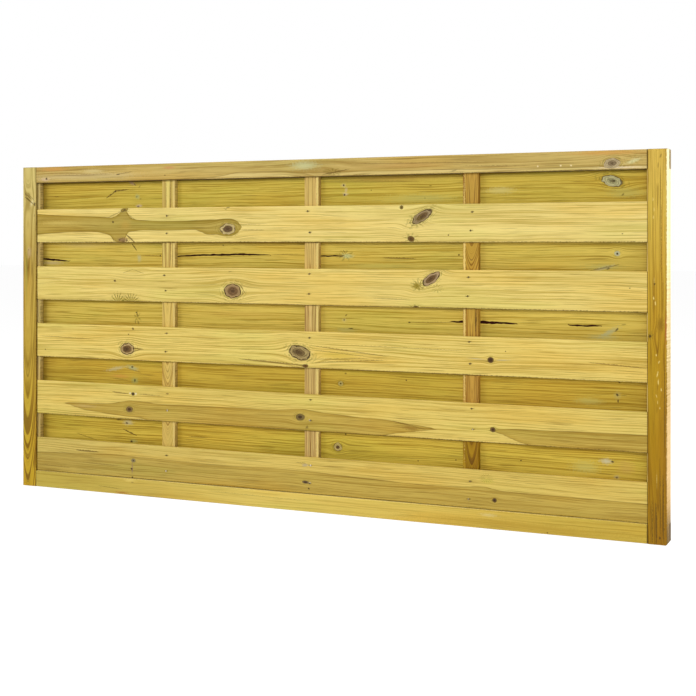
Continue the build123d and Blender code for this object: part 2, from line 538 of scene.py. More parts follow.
def knot_face_group():
    """Paints one knot over the timber: rings, dark heart, star split and rim, and a pale collar."""
    inputs = {"Timber": "colour"} | floats("Reach", "Ahead", "Above", "Lumps")
    inputs |= {"Core": "colour", "Skin": "colour"} | floats("Inner", "Rim", "Collar")
    g, given, out = new_tree("knot_face", "ShaderNodeTree", inputs, {"Timber": "colour", "Hollow": "float"})
    reach, lumps = given["Reach"], given["Lumps"]
    rings = g.math("SINE", g.math("MULTIPLY_ADD", reach, 23.0, g.math("MULTIPLY", lumps, 8.0)))
    rings = g.math("MULTIPLY_ADD", rings, 0.5, 0.5)
    dark = g.mix(0.72, given["Core"], BARK)
    within = g.step(g.math("SUBTRACT", reach, given["Inner"]), -0.10, 0.06, 1.0, 0.0)
    face = g.mix(within, given["Skin"], given["Core"])
    face = g.mix(g.math("MULTIPLY", rings, g.step(lumps, 0.3, 0.7, 0.35, 0.75)), face, dark)
    face = g.mix(g.step(reach, 0.06, 0.42, 0.80, 0.0), face, dark)
    angle = g.math("MULTIPLY", g.math("ARCTAN2", given["Above"], given["Ahead"]), 2.5)
    ray = g.math("ABSOLUTE", g.math("SINE", g.math("MULTIPLY_ADD", lumps, 5.0, angle)))
    split = g.math("MULTIPLY", g.step(ray, 0.05, 0.30, 1.0, 0.0), g.step(reach, 0.26, 0.62, 1.0, 0.0))
    face = g.mix(g.math("MULTIPLY", split, 0.8), face, BARK)

    off = g.math("DIVIDE", g.math("SUBTRACT", reach, 1.0), 0.09)
    rim = g.math("EXPONENT", g.math("MULTIPLY", g.math("MULTIPLY", off, off), -1.0))
    rim = g.math("MULTIPLY", g.math("MULTIPLY", rim, g.step(lumps, 0.34, 0.58, 0.55, 1.0)), given["Rim"])
    pale = g.math("MULTIPLY", g.step(reach, 1.05, 1.7, 1.0, 0.0), given["Collar"])
    timber = g.mix(pale, given["Timber"], KNOT_COLLAR)
    arcs = g.math("POWER", g.math("ABSOLUTE", g.math("SINE", g.math("MULTIPLY", reach, 8.5))), 5.0)
    arcs = g.math("MULTIPLY", arcs, g.step(reach, 1.15, 2.2, 0.70, 0.0))
    timber = g.mix(g.math("MULTIPLY", arcs, g.step(lumps, 0.42, 0.56)), timber, GREEN_GRAIN)
    timber = g.mix(g.step(reach, 0.97, 1.03, 1.0, 0.0), timber, face)
    g.feed(out.inputs["Timber"], g.mix(g.math("MULTIPLY", rim, 0.9, clamp=True), timber, BARK))
    g.feed(out.inputs["Hollow"], g.math("MULTIPLY_ADD", rim, 0.5, split))
    return g.tree


def oval_mark_group():
    """An oval mark with a ragged edge: 1 in its middle and 0 past its edge."""
    inputs = floats("Along", "Across", "Ragged", "Mark Along", "Mark Across", "Half Length", "Half Height")
    inputs |= floats("Tilt", "Core")
    g, given, out = new_tree("oval_mark", "ShaderNodeTree", inputs, {"Mark": "float"})
    plain = oval_reach(g, given, "Mark Along", "Mark Across")[3]
    reach = g.math("MULTIPLY", plain, g.shaken(1.0, given["Ragged"], 1.3))
    g.feed(out.inputs["Mark"], g.step(reach, given["Core"], 1.0, 1.0, 0.0))
    return g.tree


def grain_mark_group():
    """A thin mark along the grain between two points, ragged and drawn out to nothing at its ends."""
    inputs = floats("Along", "Across", "Ragged", "Start", "Start Across", "End", "End Across", "Width")
    g, given, out = new_tree("grain_mark", "ShaderNodeTree", inputs, {"Mark": "float"})
    wander, least_half = 0.003, 0.00001
    length = g.math("SUBTRACT", given["End"], given["Start"])
    share = g.math("DIVIDE", g.math("SUBTRACT", given["Along"], given["Start"]), length, clamp=True)
    fall = g.math("SUBTRACT", given["End Across"], given["Start Across"])
    middle = g.math("MULTIPLY_ADD", fall, share, given["Start Across"])
    middle = g.shaken(middle, given["Ragged"], wander)
    off = g.math("ABSOLUTE", g.math("SUBTRACT", given["Across"], middle))
    half = g.math("MULTIPLY", g.math("MULTIPLY", given["Width"], 0.5), g.math("POWER", g.arch(share), 0.6))
    half = g.math("MULTIPLY", half, g.math("MULTIPLY_ADD", given["Ragged"], 1.2, 0.4))
    off = g.math("DIVIDE", off, g.math("MAXIMUM", half, least_half))
    g.feed(out.inputs["Mark"], g.step(off, 0.5, 1.3, 1.0, 0.0))
    return g.tree


def fan_mark_group():
    """Thin dark rays that spread from one point, as where a side branch grazes the board's edge."""
    inputs = floats("Along", "Across", "Ragged", "Mark Along", "Mark Across", "Half Length", "Half Height")
    inputs |= floats("Tilt", "Rays")
    g, given, out = new_tree("fan_mark", "ShaderNodeTree", inputs, {"Mark": "float"})
    a, b, _, reach = oval_reach(g, given, "Mark Along", "Mark Across")
    angle = g.math("MULTIPLY", g.math("ARCTAN2", b, a), given["Rays"])
    ray = g.math("ABSOLUTE", g.math("SINE", g.math("MULTIPLY_ADD", given["Ragged"], 2.0, angle)))
    length = g.math("MULTIPLY_ADD", given["Ragged"], 0.9, 0.5)
    shown = g.math("MULTIPLY", g.step(ray, 0.30, 0.75, 1.0, 0.0), g.step(reach, 0.05, 0.16))
    shown = g.math("MULTIPLY", shown, g.step(g.math("DIVIDE", reach, length), 0.55, 1.0, 1.0, 0.0))
    g.feed(out.inputs["Mark"], shown)
    return g.tree


MARK_GROUPS = {
    "knot_place": knot_place_group(),
    "knot_face": knot_face_group(),
    "oval_mark": oval_mark_group(),
    "grain_mark": grain_mark_group(),
    "fan_mark": fan_mark_group(),
}


def place_mark(g, kind, along, across, texture, *values):
    """The outputs of one mark's group, which takes its values in the order of its sockets."""
    node = g.add("ShaderNodeGroup", node_tree=MARK_GROUPS[kind])
    for socket, value in zip(node.inputs, (along, across, texture, *values)):
        g.feed(socket, value)
    return node.outputs


def behind(along, height, y):
    """Where the camera's line through a point on the front slats' faces meets a plane further back."""
    seen = Vector((along, SLAT_FACE_Y, height + FOOT_Z))
    reach = (y - CAMERA_PLACE.y) / (seen.y - CAMERA_PLACE.y)
    met = CAMERA_PLACE.lerp(seen, reach)
    return met.x, met.z - FOOT_Z


def pushed_back(mark, y, upright):
    """A mark read off the photograph at the front slats' faces, moved to the face that it lies on."""
    places = [("along", "across")]
    if isinstance(mark, Streak):
        places = [("start", "start_across"), ("end", "end_across")]
    moved = {}
    for first, second in places:
        along, across = getattr(mark, first), getattr(mark, second)
        place = behind(across, along, y)[::-1] if upright else behind(along, across, y)
        moved[first], moved[second] = place
    return mark._replace(**moved)


def settled_behind(look, y, upright=False):
    """A look whose marks were read at the front slats' faces, moved to the plane y."""
    moved = {kind: [pushed_back(mark, y, upright) for mark in getattr(look, kind)] for kind in MARKS}
    return replace(look, **moved)


def grain_lines(g, look, along, grain):
    """Growth rings, streaks and fibres, which run along lines of equal grain: the colour and its textures."""
    def streaks(per_along, per_grain, detail=2.0, shift=0.0):
        first = g.math("MULTIPLY_ADD", along, per_along, 3.7 * look.seed + shift)
        return g.veins(first, g.math("MULTIPLY", grain, per_grain), detail)

    strength = look.contrast
    pale = tuple(min(1.0, share * channel) for share, channel in zip((1.10, 1.11, 1.20), look.sap)) + (1.0,)
    deep = tuple(0.62 * channel for channel in look.late[:3]) + (1.0,)
    broad = streaks(1.2, 46.0)
    fine = streaks(2.6, 330.0, shift=5.0)
    dashes = streaks(8.0, 520.0, shift=11.0)
    fibres = streaks(30.0, 1150.0, detail=1.0, shift=17.0)

    # Each ring darkens slowly towards its late wood and ends sharply
    turns = g.math("MULTIPLY_ADD", broad, 5.0, g.math("DIVIDE", grain, look.ring))
    saw = g.math("FRACT", turns)
    own = {"W": g.math("FLOOR", turns)}
    own = g.add("ShaderNodeTexWhiteNoise", own, noise_dimensions="1D").outputs["Value"]
    ring = g.math("MULTIPLY", g.step(saw, 0.35, 0.84), g.step(saw, 0.90, 1.0, 1.0, 0.0))
    ring = g.math("MULTIPLY", ring, g.math("MULTIPLY_ADD", own, 0.8, 0.2))
    ring = g.math("MULTIPLY", ring, g.step(fine, 0.36, 0.60, 0.15, 1.0))

    colour = g.mix(g.step(broad, 0.50, 0.78, 0.0, 0.36 * strength), look.sap, look.late)
    colour = g.mix(g.step(broad, 0.46, 0.24, 0.0, 0.45 * strength), colour, pale)
    colour = g.mix(g.math("MULTIPLY", ring, 0.75 * strength, clamp=True), colour, look.late)
    if look.bands:
        band = g.math("MULTIPLY", g.step(saw, 0.42, 0.60), g.step(saw, 0.88, 1.0, 1.0, 0.0))
        near_foot = g.step(along, 0.16, 0.42, look.bands, 0.0)
        colour = g.mix(g.math("MULTIPLY", band, near_foot), colour, look.late)
    colour = g.mix(g.step(fine, 0.53, 0.64, 0.0, 0.66 * strength), colour, look.late)
    colour = g.mix(g.step(fine, 0.46, 0.28, 0.0, 0.60 * strength), colour, pale)
    colour = g.mix(g.step(dashes, 0.60, 0.69, 0.0, 0.62 * strength), colour, deep)
    colour = g.mix(g.step(fibres, 0.45, 0.85, 0.0, 0.25 * strength), colour, look.late)
    return colour, ring, broad, fine, fibres


def hearted(g, look, along, across, colour, fine):
    """Darkens the heartwood, which lies between the board's two lines, most along its edge."""
    top, foot = g.line(along, look.tops), g.line(along, look.foots)
    place = g.shaken(across, fine, 0.004)
    over, under = g.math("SUBTRACT", place, foot), g.math("SUBTRACT", top, place)
    near = g.math("MINIMUM", over, under)
    inside = g.math("MULTIPLY", g.step(under, -0.0006, 0.0009), g.step(over, -0.0012, 0.0022))
    skin = g.step(near, 0.0, 0.012, 1.0, 0.82)
    edge = g.math("MULTIPLY", g.step(near, -0.0004, 0.0006), g.step(near, 0.0010, 0.0026, 1.0, 0.0))
    dark = g.mix(1.0, colour, (*look.heart, 1.0), "MULTIPLY")
    colour = g.mix(g.math("MULTIPLY", inside, skin), colour, dark)
    return g.mix(g.math("MULTIPLY", edge, 0.36), colour, PITCH)


def toned(g, look, along, across, upright, colour):
    """Slow changes of tone: shares along the board's length, its own tone and on the back slats painted
    shade, and clouds of orange and green.
    """
    if look.tones:
        span = PANEL_HEIGHT if upright else PANEL_LENGTH
        ramp = g.add("ShaderNodeValToRGB", {0: g.math("DIVIDE", along, span)})
        stops = ramp.color_ramp.elements
        for stop, (place, share) in zip((stops[0], stops[1]), (look.tones[0], look.tones[-1])):
            stop.position = place / span
            stop.color = (*share, 1.0)
        for place, share in look.tones[1:-1]:
            stops.new(place / span).color = (*share, 1.0)
        colour = g.mix(1.0, colour, ramp.outputs[0], "MULTIPLY")
    first = g.math("MULTIPLY_ADD", along, 2.6, look.seed + 20.0)
    tone = g.veins(first, g.math("MULTIPLY", across, 16.0))
    colour = g.mix(g.step(tone, 0.50, 0.75, 0.0, 0.9), colour, g.mix(1.0, colour, ORANGE_CAST, "MULTIPLY"))
    return g.mix(g.step(tone, 0.50, 0.25, 0.0, 0.9), colour, g.mix(1.0, colour, GREEN_CAST, "MULTIPLY"))


def end_grained(g, look, along, across, deep, upright, colour):
    """The rings on sawn ends, and painted shadow and grime along the joints: a rail's in front, a stile's
    behind.
    """
    if look.joints:
        side = g.math("GREATER_THAN" if upright else "LESS_THAN", deep, LAP_DEPTH)
    # Each joint gets a dark line of painted shadow and grime
    for place in look.joints:
        near = g.math("ABSOLUTE", g.math("SUBTRACT", along, place))
        painted_shade = g.math("MULTIPLY", g.step(near, 0.0009, 0.0026, 0.85, 0.0), side)
        colour = g.mix(painted_shade, colour, JOINT_SHADOW_AND_DIRT)
    if not look.ends:
        return colour
    pith_depth, radians_per_metre = 0.07, 2300.0
    aside, beneath = g.math("SUBTRACT", across, look.centre), g.math("SUBTRACT", deep, pith_depth)
    radius = g.math("SQRT", g.squares(aside, beneath))
    arcs = g.math("SINE", g.math("MULTIPLY", radius, radians_per_metre))
    cut = g.mix(g.step(arcs, -0.2, 1.0, 0.0, 0.55), look.end_tone, BARK)
    for place in look.ends:
        near = g.math("ABSOLUTE", g.math("SUBTRACT", along, place))
        colour = g.mix(g.step(near, 0.0004, 0.0009, 1.0, 0.0), colour, cut)
    return colour


def marked(g, look, along, across, colour, places, lumps, ragged, broad):
    """Stains, painted shade and highlights, knots, rays, spots and streaks over the plain timber: the colour
    and where it is hollow.
    """
    for patch in look.patches:
        mark = place_mark(g, "oval_mark", along, across, ragged, *patch[:4], patch.tilt, 0.1)[0]
        veined = g.step(broad, 0.30, 0.62, 1.2 * patch.share, 0.8 * patch.share)
        colour = g.mix(g.math("MULTIPLY", mark, veined, clamp=True), colour, patch.colour)
    hollows = []
    for knot, outputs in places:
        given = {"Timber": colour, "Lumps": lumps, "Core": knot.core, "Skin": knot.skin}
        given |= {"Inner": knot.inner, "Rim": knot.rim, "Collar": knot.collar}
        given |= {key: outputs[key] for key in ("Reach", "Ahead", "Above")}
        node = g.add("ShaderNodeGroup", node_tree=MARK_GROUPS["knot_face"])
        for key, value in given.items():
            g.feed(node.inputs[key], value)
        colour = node.outputs["Timber"]
        hollows.append(node.outputs["Hollow"])
    for fan in look.fans:
        mark = place_mark(g, "fan_mark", along, across, ragged, *fan[:4], 0.0, fan.rays)[0]
        colour = g.mix(g.math("MULTIPLY", mark, fan.depth), colour, GREEN_GRAIN)
    for spot in look.spots:
        mark = place_mark(g, "oval_mark", along, across, ragged, *spot[:5], 0.35)[0]
        colour = g.mix(g.math("MULTIPLY", mark, 0.9 * spot.depth), colour, BARK)
    for streak in look.streaks:
        mark = place_mark(g, "grain_mark", along, across, ragged, *streak[:5])[0]
        colour = g.mix(g.math("MULTIPLY", mark, streak.depth), colour, PITCH)
    return colour, hollows


def timber(name, look, upright, face_y):
    """Planed softwood whose grain, heartwood, knots, stains, painted shade and painted highlights follow a
    board's look.
    """
    material, g = new_material(name)
    x, y, z = g.split(g.add("ShaderNodeTexCoord").outputs["Object"])
    height = g.math("SUBTRACT", z, FOOT_Z)
    along, across = (height, x) if upright else (x, height)
    deep = g.math("SUBTRACT", y, face_y)

    # The grain runs along the board, wanders a little, and parts round its knots
    wander = g.veins(g.math("MULTIPLY_ADD", along, 3.0, look.seed), g.math("MULTIPLY", across, 9.0))
    grain = g.shaken(g.math("SUBTRACT", across, look.centre), wander, look.wave)
    grain = g.math("MULTIPLY_ADD", deep, DEPTH_SLANT, grain)
    if look.climb:
        grain = g.math("SQRT", g.math("MULTIPLY_ADD", grain, grain, look.pith * look.pith))
        grain = g.math("SUBTRACT", grain, g.line(along, look.climb))
    lumps = g.veins(g.math("MULTIPLY", along, LUMPS), g.math("MULTIPLY", across, LUMPS), 1.0)
    ragged = g.veins(g.math("MULTIPLY", along, TUFTS), g.math("MULTIPLY", across, TUFTS))
    places = []
    for knot in [*look.knots, *look.swells]:
        tilt = knot.tilt if isinstance(knot, Knot) else 0.0
        outputs = place_mark(g, "knot_place", along, across, lumps, *knot[:4], tilt)
        grain = g.math("MULTIPLY_ADD", outputs["Parting"], -KNOT_PARTING * knot.lift, grain)
        if isinstance(knot, Knot):
            places.append((knot, outputs))

    colour, ring, broad, fine, fibres = grain_lines(g, look, along, grain)
    if look.tops:
        colour = hearted(g, look, along, across, colour, fine)
    colour = toned(g, look, along, across, upright, colour)
    colour, hollows = marked(g, look, along, across, colour, places, lumps, ragged, broad)
    # Painted shade in the sunk openings of the cracks
    if look.cracks:
        low, high = look.cracks
        inside = g.math("MULTIPLY", g.math("GREATER_THAN", across, low), g.math("LESS_THAN", across, high))
        sunk = g.math("MULTIPLY", g.step(deep, 0.0004, 0.0014), g.step(deep, 0.0070, 0.0080, 1.0, 0.0))
        colour = g.mix(g.math("MULTIPLY", inside, sunk), colour, CRACK_SHADE)
    colour = end_grained(g, look, along, across, deep, upright, colour)

    relief = g.math("MULTIPLY_ADD", fibres, -0.5, g.math("MULTIPLY", ring, 0.6))
    relief = g.math("MULTIPLY_ADD", fine, -0.8, relief)
    if hollows:
        relief = g.math("SUBTRACT", relief, g.total(hollows))
    bump = g.add("ShaderNodeBump", {"Strength": 0.45, "Distance": 0.0005, "Height": relief}).outputs[0]
    surface = {"Base Color": colour, "Normal": bump, "Specular IOR Level": 0.20}
    surface["Roughness"] = g.step(fine, 0.2, 0.8, 0.56, 0.76)
    shader = g.add("ShaderNodeBsdfPrincipled", surface)
    g.add("ShaderNodeOutputMaterial", {"Surface": shader.outputs[0]})
    return material


# Painted shade: the back slats are darker where they run into the stiles
BACK_SHADE = [
    (0.0, (0.5, 0.46, 0.36)), (0.053, (0.56, 0.52, 0.4)), (0.066, (0.84, 0.82, 0.76)),
    (0.1, (0.96, 0.96, 0.93)), (0.25, (1.0, 1.0, 1.0)), (1.7, (1.0, 1.0, 1.0)),
    (1.735, (0.94, 0.93, 0.9)), (1.748, (0.8, 0.77, 0.7)),
]

# The drying cracks in two back slats, as they are seen through the front gaps
BACK_SHAKES = {
    "back_slat_2": [
        Shake(-0.02, 0.644, 0.158, 0.6355, 0.001, 0.006, 0.006),
        Shake(0.485, 0.649, 0.79, 0.655, 0.003, 0.0056, 0.006),
        Shake(0.915, 0.6525, 0.998, 0.653, 0.0, 0.0042, 0.005),
    ],
    "back_slat_3": [
        Shake(1.276, 0.4945, 1.448, 0.4935, 0.0012, 0.0068, 0.006),
        Shake(1.568, 0.493, 1.648, 0.4935, 0.0, 0.0048, 0.005),
    ],
}


def front_slat_1_look():
    """The top front slat: a grey core of heartwood in its left half, and three large knots."""
    return Board(
        sap=paint(231, 208, 124), late=paint(186, 160, 70), heart=(0.47, 0.42, 0.16), seed=1.3, contrast=0.85,
        tops=[
            (0.047, 0.768), (0.113, 0.764), (0.18, 0.762), (0.247, 0.759), (0.297, 0.756), (0.313, 0.762),
            (0.323, 0.768), (0.33, 0.777), (0.345, 0.777), (0.35, 0.763), (0.363, 0.753), (0.38, 0.749),
            (0.413, 0.747), (0.46, 0.745), (0.56, 0.746), (0.62, 0.748), (0.655, 0.75), (0.69, 0.743),
            (0.7, 0.73), (0.71, 0.72), (1.8, 0.72),
        ],
        foots=[
            (0.047, 0.709), (0.08, 0.712), (0.113, 0.714), (0.18, 0.716), (0.23, 0.716), (0.263, 0.713),
            (0.287, 0.708), (0.3, 0.698), (0.305, 0.69), (0.335, 0.686), (0.343, 0.706), (0.347, 0.713),
            (0.363, 0.717), (0.397, 0.72), (0.46, 0.719), (0.56, 0.72), (0.58, 0.715), (0.6, 0.708),
            (0.62, 0.708), (0.655, 0.703), (0.69, 0.712), (0.7, 0.724), (0.71, 0.735), (1.8, 0.735),
        ],
        knots=[
            Knot(0.66, 0.723, 0.0225, 0.014, 0.0, paint(108, 84, 52), paint(206, 184, 122),
                 inner=0.66, rim=0.7, lift=1.2, collar=0.0),
            Knot(0.338, 0.7765, 0.011, 0.0045, 0.2, paint(130, 108, 40), paint(170, 146, 60),
                 inner=0.6, rim=1.3, lift=0.6),
            Knot(1.2047, 0.7507, 0.029, 0.0115, 0.55, paint(112, 86, 50), KNOT_MAUVE,
                 inner=0.62, rim=1.1, lift=1.0, collar=0.1),
            Knot(1.176, 0.696, 0.0085, 0.0062, -0.3, paint(90, 58, 22), paint(120, 84, 40),
                 inner=0.7, rim=1.3, lift=1.3),
            Knot(1.151, 0.774, 0.0043, 0.0046, 0.0, paint(118, 100, 36), paint(140, 120, 50),
                 inner=0.6, rim=1.2, lift=1.0),
        ],
        fans=[Fan(1.176, 0.696, 0.026, 0.02, 4.0, 0.45), Fan(1.19, 0.74, 0.034, 0.022, 5.0, 0.4)],
        spots=[
            Spot(0.301, 0.744, 0.0044, 0.0036), Spot(0.6625, 0.7805, 0.011, 0.0026, 0.35, 0.7),
            Spot(0.653, 0.775, 0.008, 0.002, -0.4, 0.4), Spot(0.322, 0.695, 0.005, 0.003, 0.3, 0.6),
            Spot(0.334, 0.691, 0.006, 0.0025, -0.2, 0.6), Spot(0.346, 0.693, 0.005, 0.003, 0.2, 0.6),
            Spot(0.33, 0.699, 0.006, 0.002, 0.1, 0.4), Spot(0.334, 0.772, 0.01, 0.0016, 0.5, 0.5),
            Spot(0.345, 0.774, 0.01, 0.0016, -0.3, 0.5), Spot(1.274, 0.705, 0.0024, 0.0022),
            Spot(1.697, 0.707, 0.0024, 0.0024),
        ],
        streaks=[
            Streak(0.341, 0.711, 0.373, 0.687, 0.006, 0.75), Streak(0.296, 0.704, 0.306, 0.688, 0.004, 0.7),
            Streak(0.343, 0.768, 0.372, 0.75, 0.003, 0.5), Streak(0.282, 0.755, 0.326, 0.772, 0.004, 0.45),
            Streak(0.7, 0.72, 0.77, 0.7195, 0.003, 0.45), Streak(0.69, 0.735, 0.76, 0.733, 0.002, 0.35),
        ],
        patches=[
            Patch(0.664, 0.724, 0.04, 0.024, paint(166, 140, 54), 0.8),
            Patch(0.333, 0.6945, 0.028, 0.0105, paint(142, 112, 66), 1.0),
            Patch(0.341, 0.7365, 0.027, 0.019, paint(186, 150, 62), 0.6),
            Patch(0.12, 0.742, 0.09, 0.008, paint(206, 182, 96), 0.6),
            Patch(0.13, 0.722, 0.07, 0.004, paint(150, 122, 40), 0.5),
        ],
    )


def front_slat_2_look():
    """The second front slat: two large knots, and rays where a branch grazes its lower edge."""
    return Board(
        sap=paint(228, 204, 116), late=paint(184, 156, 64), seed=2.1, contrast=0.9,
        knots=[
            Knot(0.675, 0.56, 0.0245, 0.0177, 0.0, paint(120, 90, 54), paint(174, 144, 94),
                 inner=0.66, rim=1.3, lift=1.1),
            Knot(1.2283, 0.5977, 0.0256, 0.011, 0.586, paint(110, 82, 46), paint(180, 152, 110),
                 inner=0.62, rim=1.2, lift=1.0, collar=0.1),
            Knot(1.189, 0.528, 0.007, 0.0032, 0.0, paint(90, 62, 22), paint(120, 92, 40),
                 inner=0.6, rim=1.3, lift=2.6),
        ],
        swells=[Swell(0.366, 0.61, 0.03, 0.009, 1.2), Swell(0.338, 0.527, 0.05, 0.014, 1.0)],
        fans=[
            Fan(0.317, 0.5235, 0.03, 0.034, 7.0, 0.95), Fan(0.36, 0.5235, 0.034, 0.032, 9.0, 0.95),
            Fan(1.196, 0.583, 0.026, 0.02, 5.0, 0.6), Fan(1.245, 0.575, 0.02, 0.014, 5.0, 0.4),
            Fan(1.188, 0.525, 0.03, 0.012, 5.0, 0.6),
        ],
        spots=[
            Spot(0.307, 0.5827, 0.005, 0.004), Spot(1.714, 0.582, 0.0022, 0.0022, 0.0, 0.8),
            Spot(0.668, 0.611, 0.01, 0.0016, 0.2, 0.45),
        ],
        streaks=[
            Streak(0.333, 0.604, 0.366, 0.6145, 0.0022, 0.45),
            Streak(0.364, 0.6145, 0.402, 0.603, 0.0022, 0.45),
            Streak(0.696, 0.578, 0.712, 0.555, 0.0036, 0.7), Streak(0.698, 0.546, 0.713, 0.56, 0.003, 0.45),
            Streak(1.075, 0.548, 1.175, 0.546, 0.003, 0.4),
        ],
        patches=[
            Patch(1.1915, 0.58, 0.017, 0.0125, paint(150, 128, 36), 1.0),
            Patch(0.338, 0.529, 0.055, 0.008, paint(190, 166, 66), 0.5),
            Patch(0.12, 0.555, 0.1, 0.03, paint(208, 186, 88), 0.4),
        ],
    )


def front_slat_3_look():
    """The middle front slat: two large knots whose dark grain runs on between them."""
    return Board(
        sap=paint(227, 202, 110), late=paint(184, 154, 60), seed=3.7,
        knots=[
            Knot(0.347, 0.397, 0.021, 0.015, 0.0, paint(120, 90, 50), paint(194, 164, 106),
                 inner=0.68, rim=1.3, lift=1.2),
            Knot(0.871, 0.405, 0.029, 0.0175, -0.25, paint(122, 100, 58), paint(172, 150, 94),
                 inner=0.56, rim=1.3, lift=1.1),
            Knot(0.8867, 0.3717, 0.008, 0.004, 0.0, paint(96, 66, 26), paint(130, 96, 40),
                 inner=0.6, rim=1.2, lift=1.2),
            Knot(1.3807, 0.405, 0.0072, 0.0066, 0.0, paint(66, 44, 18), paint(110, 82, 40),
                 inner=0.7, rim=1.2, lift=1.0, collar=0.0),
        ],
        swells=[Swell(1.0, 0.398, 0.12, 0.018, 0.5)],
        spots=[
            Spot(0.3657, 0.4527, 0.0046, 0.0034), Spot(0.351, 0.437, 0.0032, 0.0026),
            Spot(0.341, 0.396, 0.012, 0.0095, 0.0, 0.6), Spot(0.86, 0.4075, 0.012, 0.01, 0.0, 0.5),
            Spot(0.074, 0.387, 0.0022, 0.002), Spot(1.418, 0.427, 0.0022, 0.002),
        ],
        streaks=[
            Streak(0.693, 0.383, 0.887, 0.3725, 0.0046, 0.65),
            Streak(0.362, 0.4005, 0.4, 0.3975, 0.004, 0.7), Streak(0.362, 0.389, 0.39, 0.3975, 0.003, 0.6),
            Streak(1.617, 0.408, 1.755, 0.399, 0.003, 0.55),
            Streak(0.898, 0.425, 1.115, 0.4035, 0.003, 0.55), Streak(0.898, 0.38, 1.115, 0.395, 0.003, 0.5),
            Streak(0.9, 0.414, 1.06, 0.4015, 0.0026, 0.45), Streak(0.9, 0.389, 1.06, 0.397, 0.0026, 0.45),
            Streak(1.0, 0.429, 1.33, 0.424, 0.0026, 0.4), Streak(0.05, 0.425, 0.24, 0.42, 0.003, 0.4),
        ],
        patches=[
            Patch(1.347, 0.4065, 0.03, 0.0022, paint(186, 176, 136), 0.8, -0.05),
            Patch(1.41, 0.4055, 0.026, 0.0022, paint(186, 176, 136), 0.8, 0.05),
            Patch(0.98, 0.402, 0.08, 0.016, paint(206, 178, 66), 0.5),
        ],
    )


def front_slat_4_look():
    """The fourth front slat: heartwood from end to end, which pinches out twice."""
    return Board(
        sap=paint(222, 197, 104), late=paint(178, 148, 58), heart=(0.66, 0.59, 0.37), seed=4.9, contrast=0.9,
        tops=[
            (0.047, 0.23), (0.125, 0.2345), (0.14, 0.2395), (0.18, 0.242), (0.247, 0.243), (0.297, 0.247),
            (0.33, 0.253), (0.363, 0.257), (0.397, 0.256), (0.46, 0.252), (0.607, 0.254), (0.807, 0.255),
            (0.84, 0.258), (0.873, 0.261), (0.907, 0.258), (0.967, 0.253), (1.033, 0.249), (1.1, 0.247),
            (1.167, 0.24), (1.233, 0.233), (1.265, 0.226), (1.345, 0.228), (1.385, 0.238), (1.443, 0.243),
            (1.527, 0.244), (1.627, 0.246), (1.755, 0.247),
        ],
        foots=[
            (0.047, 0.242), (0.125, 0.24), (0.14, 0.2385), (0.167, 0.232), (0.213, 0.223), (0.263, 0.219),
            (0.313, 0.215), (0.347, 0.212), (0.397, 0.21), (0.43, 0.196), (1.05, 0.196), (1.133, 0.213),
            (1.2, 0.223), (1.233, 0.228), (1.265, 0.233), (1.345, 0.236), (1.38, 0.235), (1.41, 0.227),
            (1.44, 0.216), (1.475, 0.205), (1.51, 0.197), (1.755, 0.197),
        ],
        knots=[
            Knot(0.354, 0.2327, 0.011, 0.008, 0.0, paint(84, 60, 30), paint(130, 104, 56),
                 inner=0.5, rim=0.3, lift=0.9, collar=0.0),
            Knot(0.872, 0.24, 0.0125, 0.0085, 0.0, paint(82, 62, 30), paint(128, 108, 56),
                 inner=0.5, rim=0.5, lift=1.6, collar=0.0),
            Knot(0.3657, 0.275, 0.0048, 0.0044, 0.0, paint(70, 56, 24), paint(120, 104, 60),
                 inner=0.7, rim=0.8, lift=1.2, collar=0.0),
            Knot(1.3867, 0.238, 0.0062, 0.0056, 0.0, paint(74, 50, 22), paint(120, 92, 48),
                 inner=0.6, rim=1.2, lift=1.2, collar=0.0),
        ],
        spots=[Spot(0.8917, 0.215, 0.0055, 0.005, 0.0, 0.6)],
        streaks=[
            Streak(0.296, 0.2785, 0.352, 0.2745, 0.0036, 0.6),
            Streak(0.38, 0.2755, 0.465, 0.273, 0.003, 0.45), Streak(1.125, 0.245, 1.215, 0.228, 0.004, 0.4),
        ],
        patches=[
            Patch(0.3565, 0.277, 0.0035, 0.0035, paint(236, 232, 206), 0.9),
            Patch(0.3745, 0.276, 0.0035, 0.0035, paint(236, 232, 206), 0.9),
            Patch(0.9, 0.233, 0.0045, 0.0035, paint(232, 222, 190), 0.9),
            Patch(1.175, 0.2285, 0.034, 0.0075, paint(146, 112, 38), 0.8, -0.15),
            Patch(0.7, 0.228, 0.2, 0.018, paint(176, 148, 62), 0.35),
            Patch(0.21, 0.2345, 0.06, 0.006, paint(186, 156, 100), 0.5),
        ],
    )


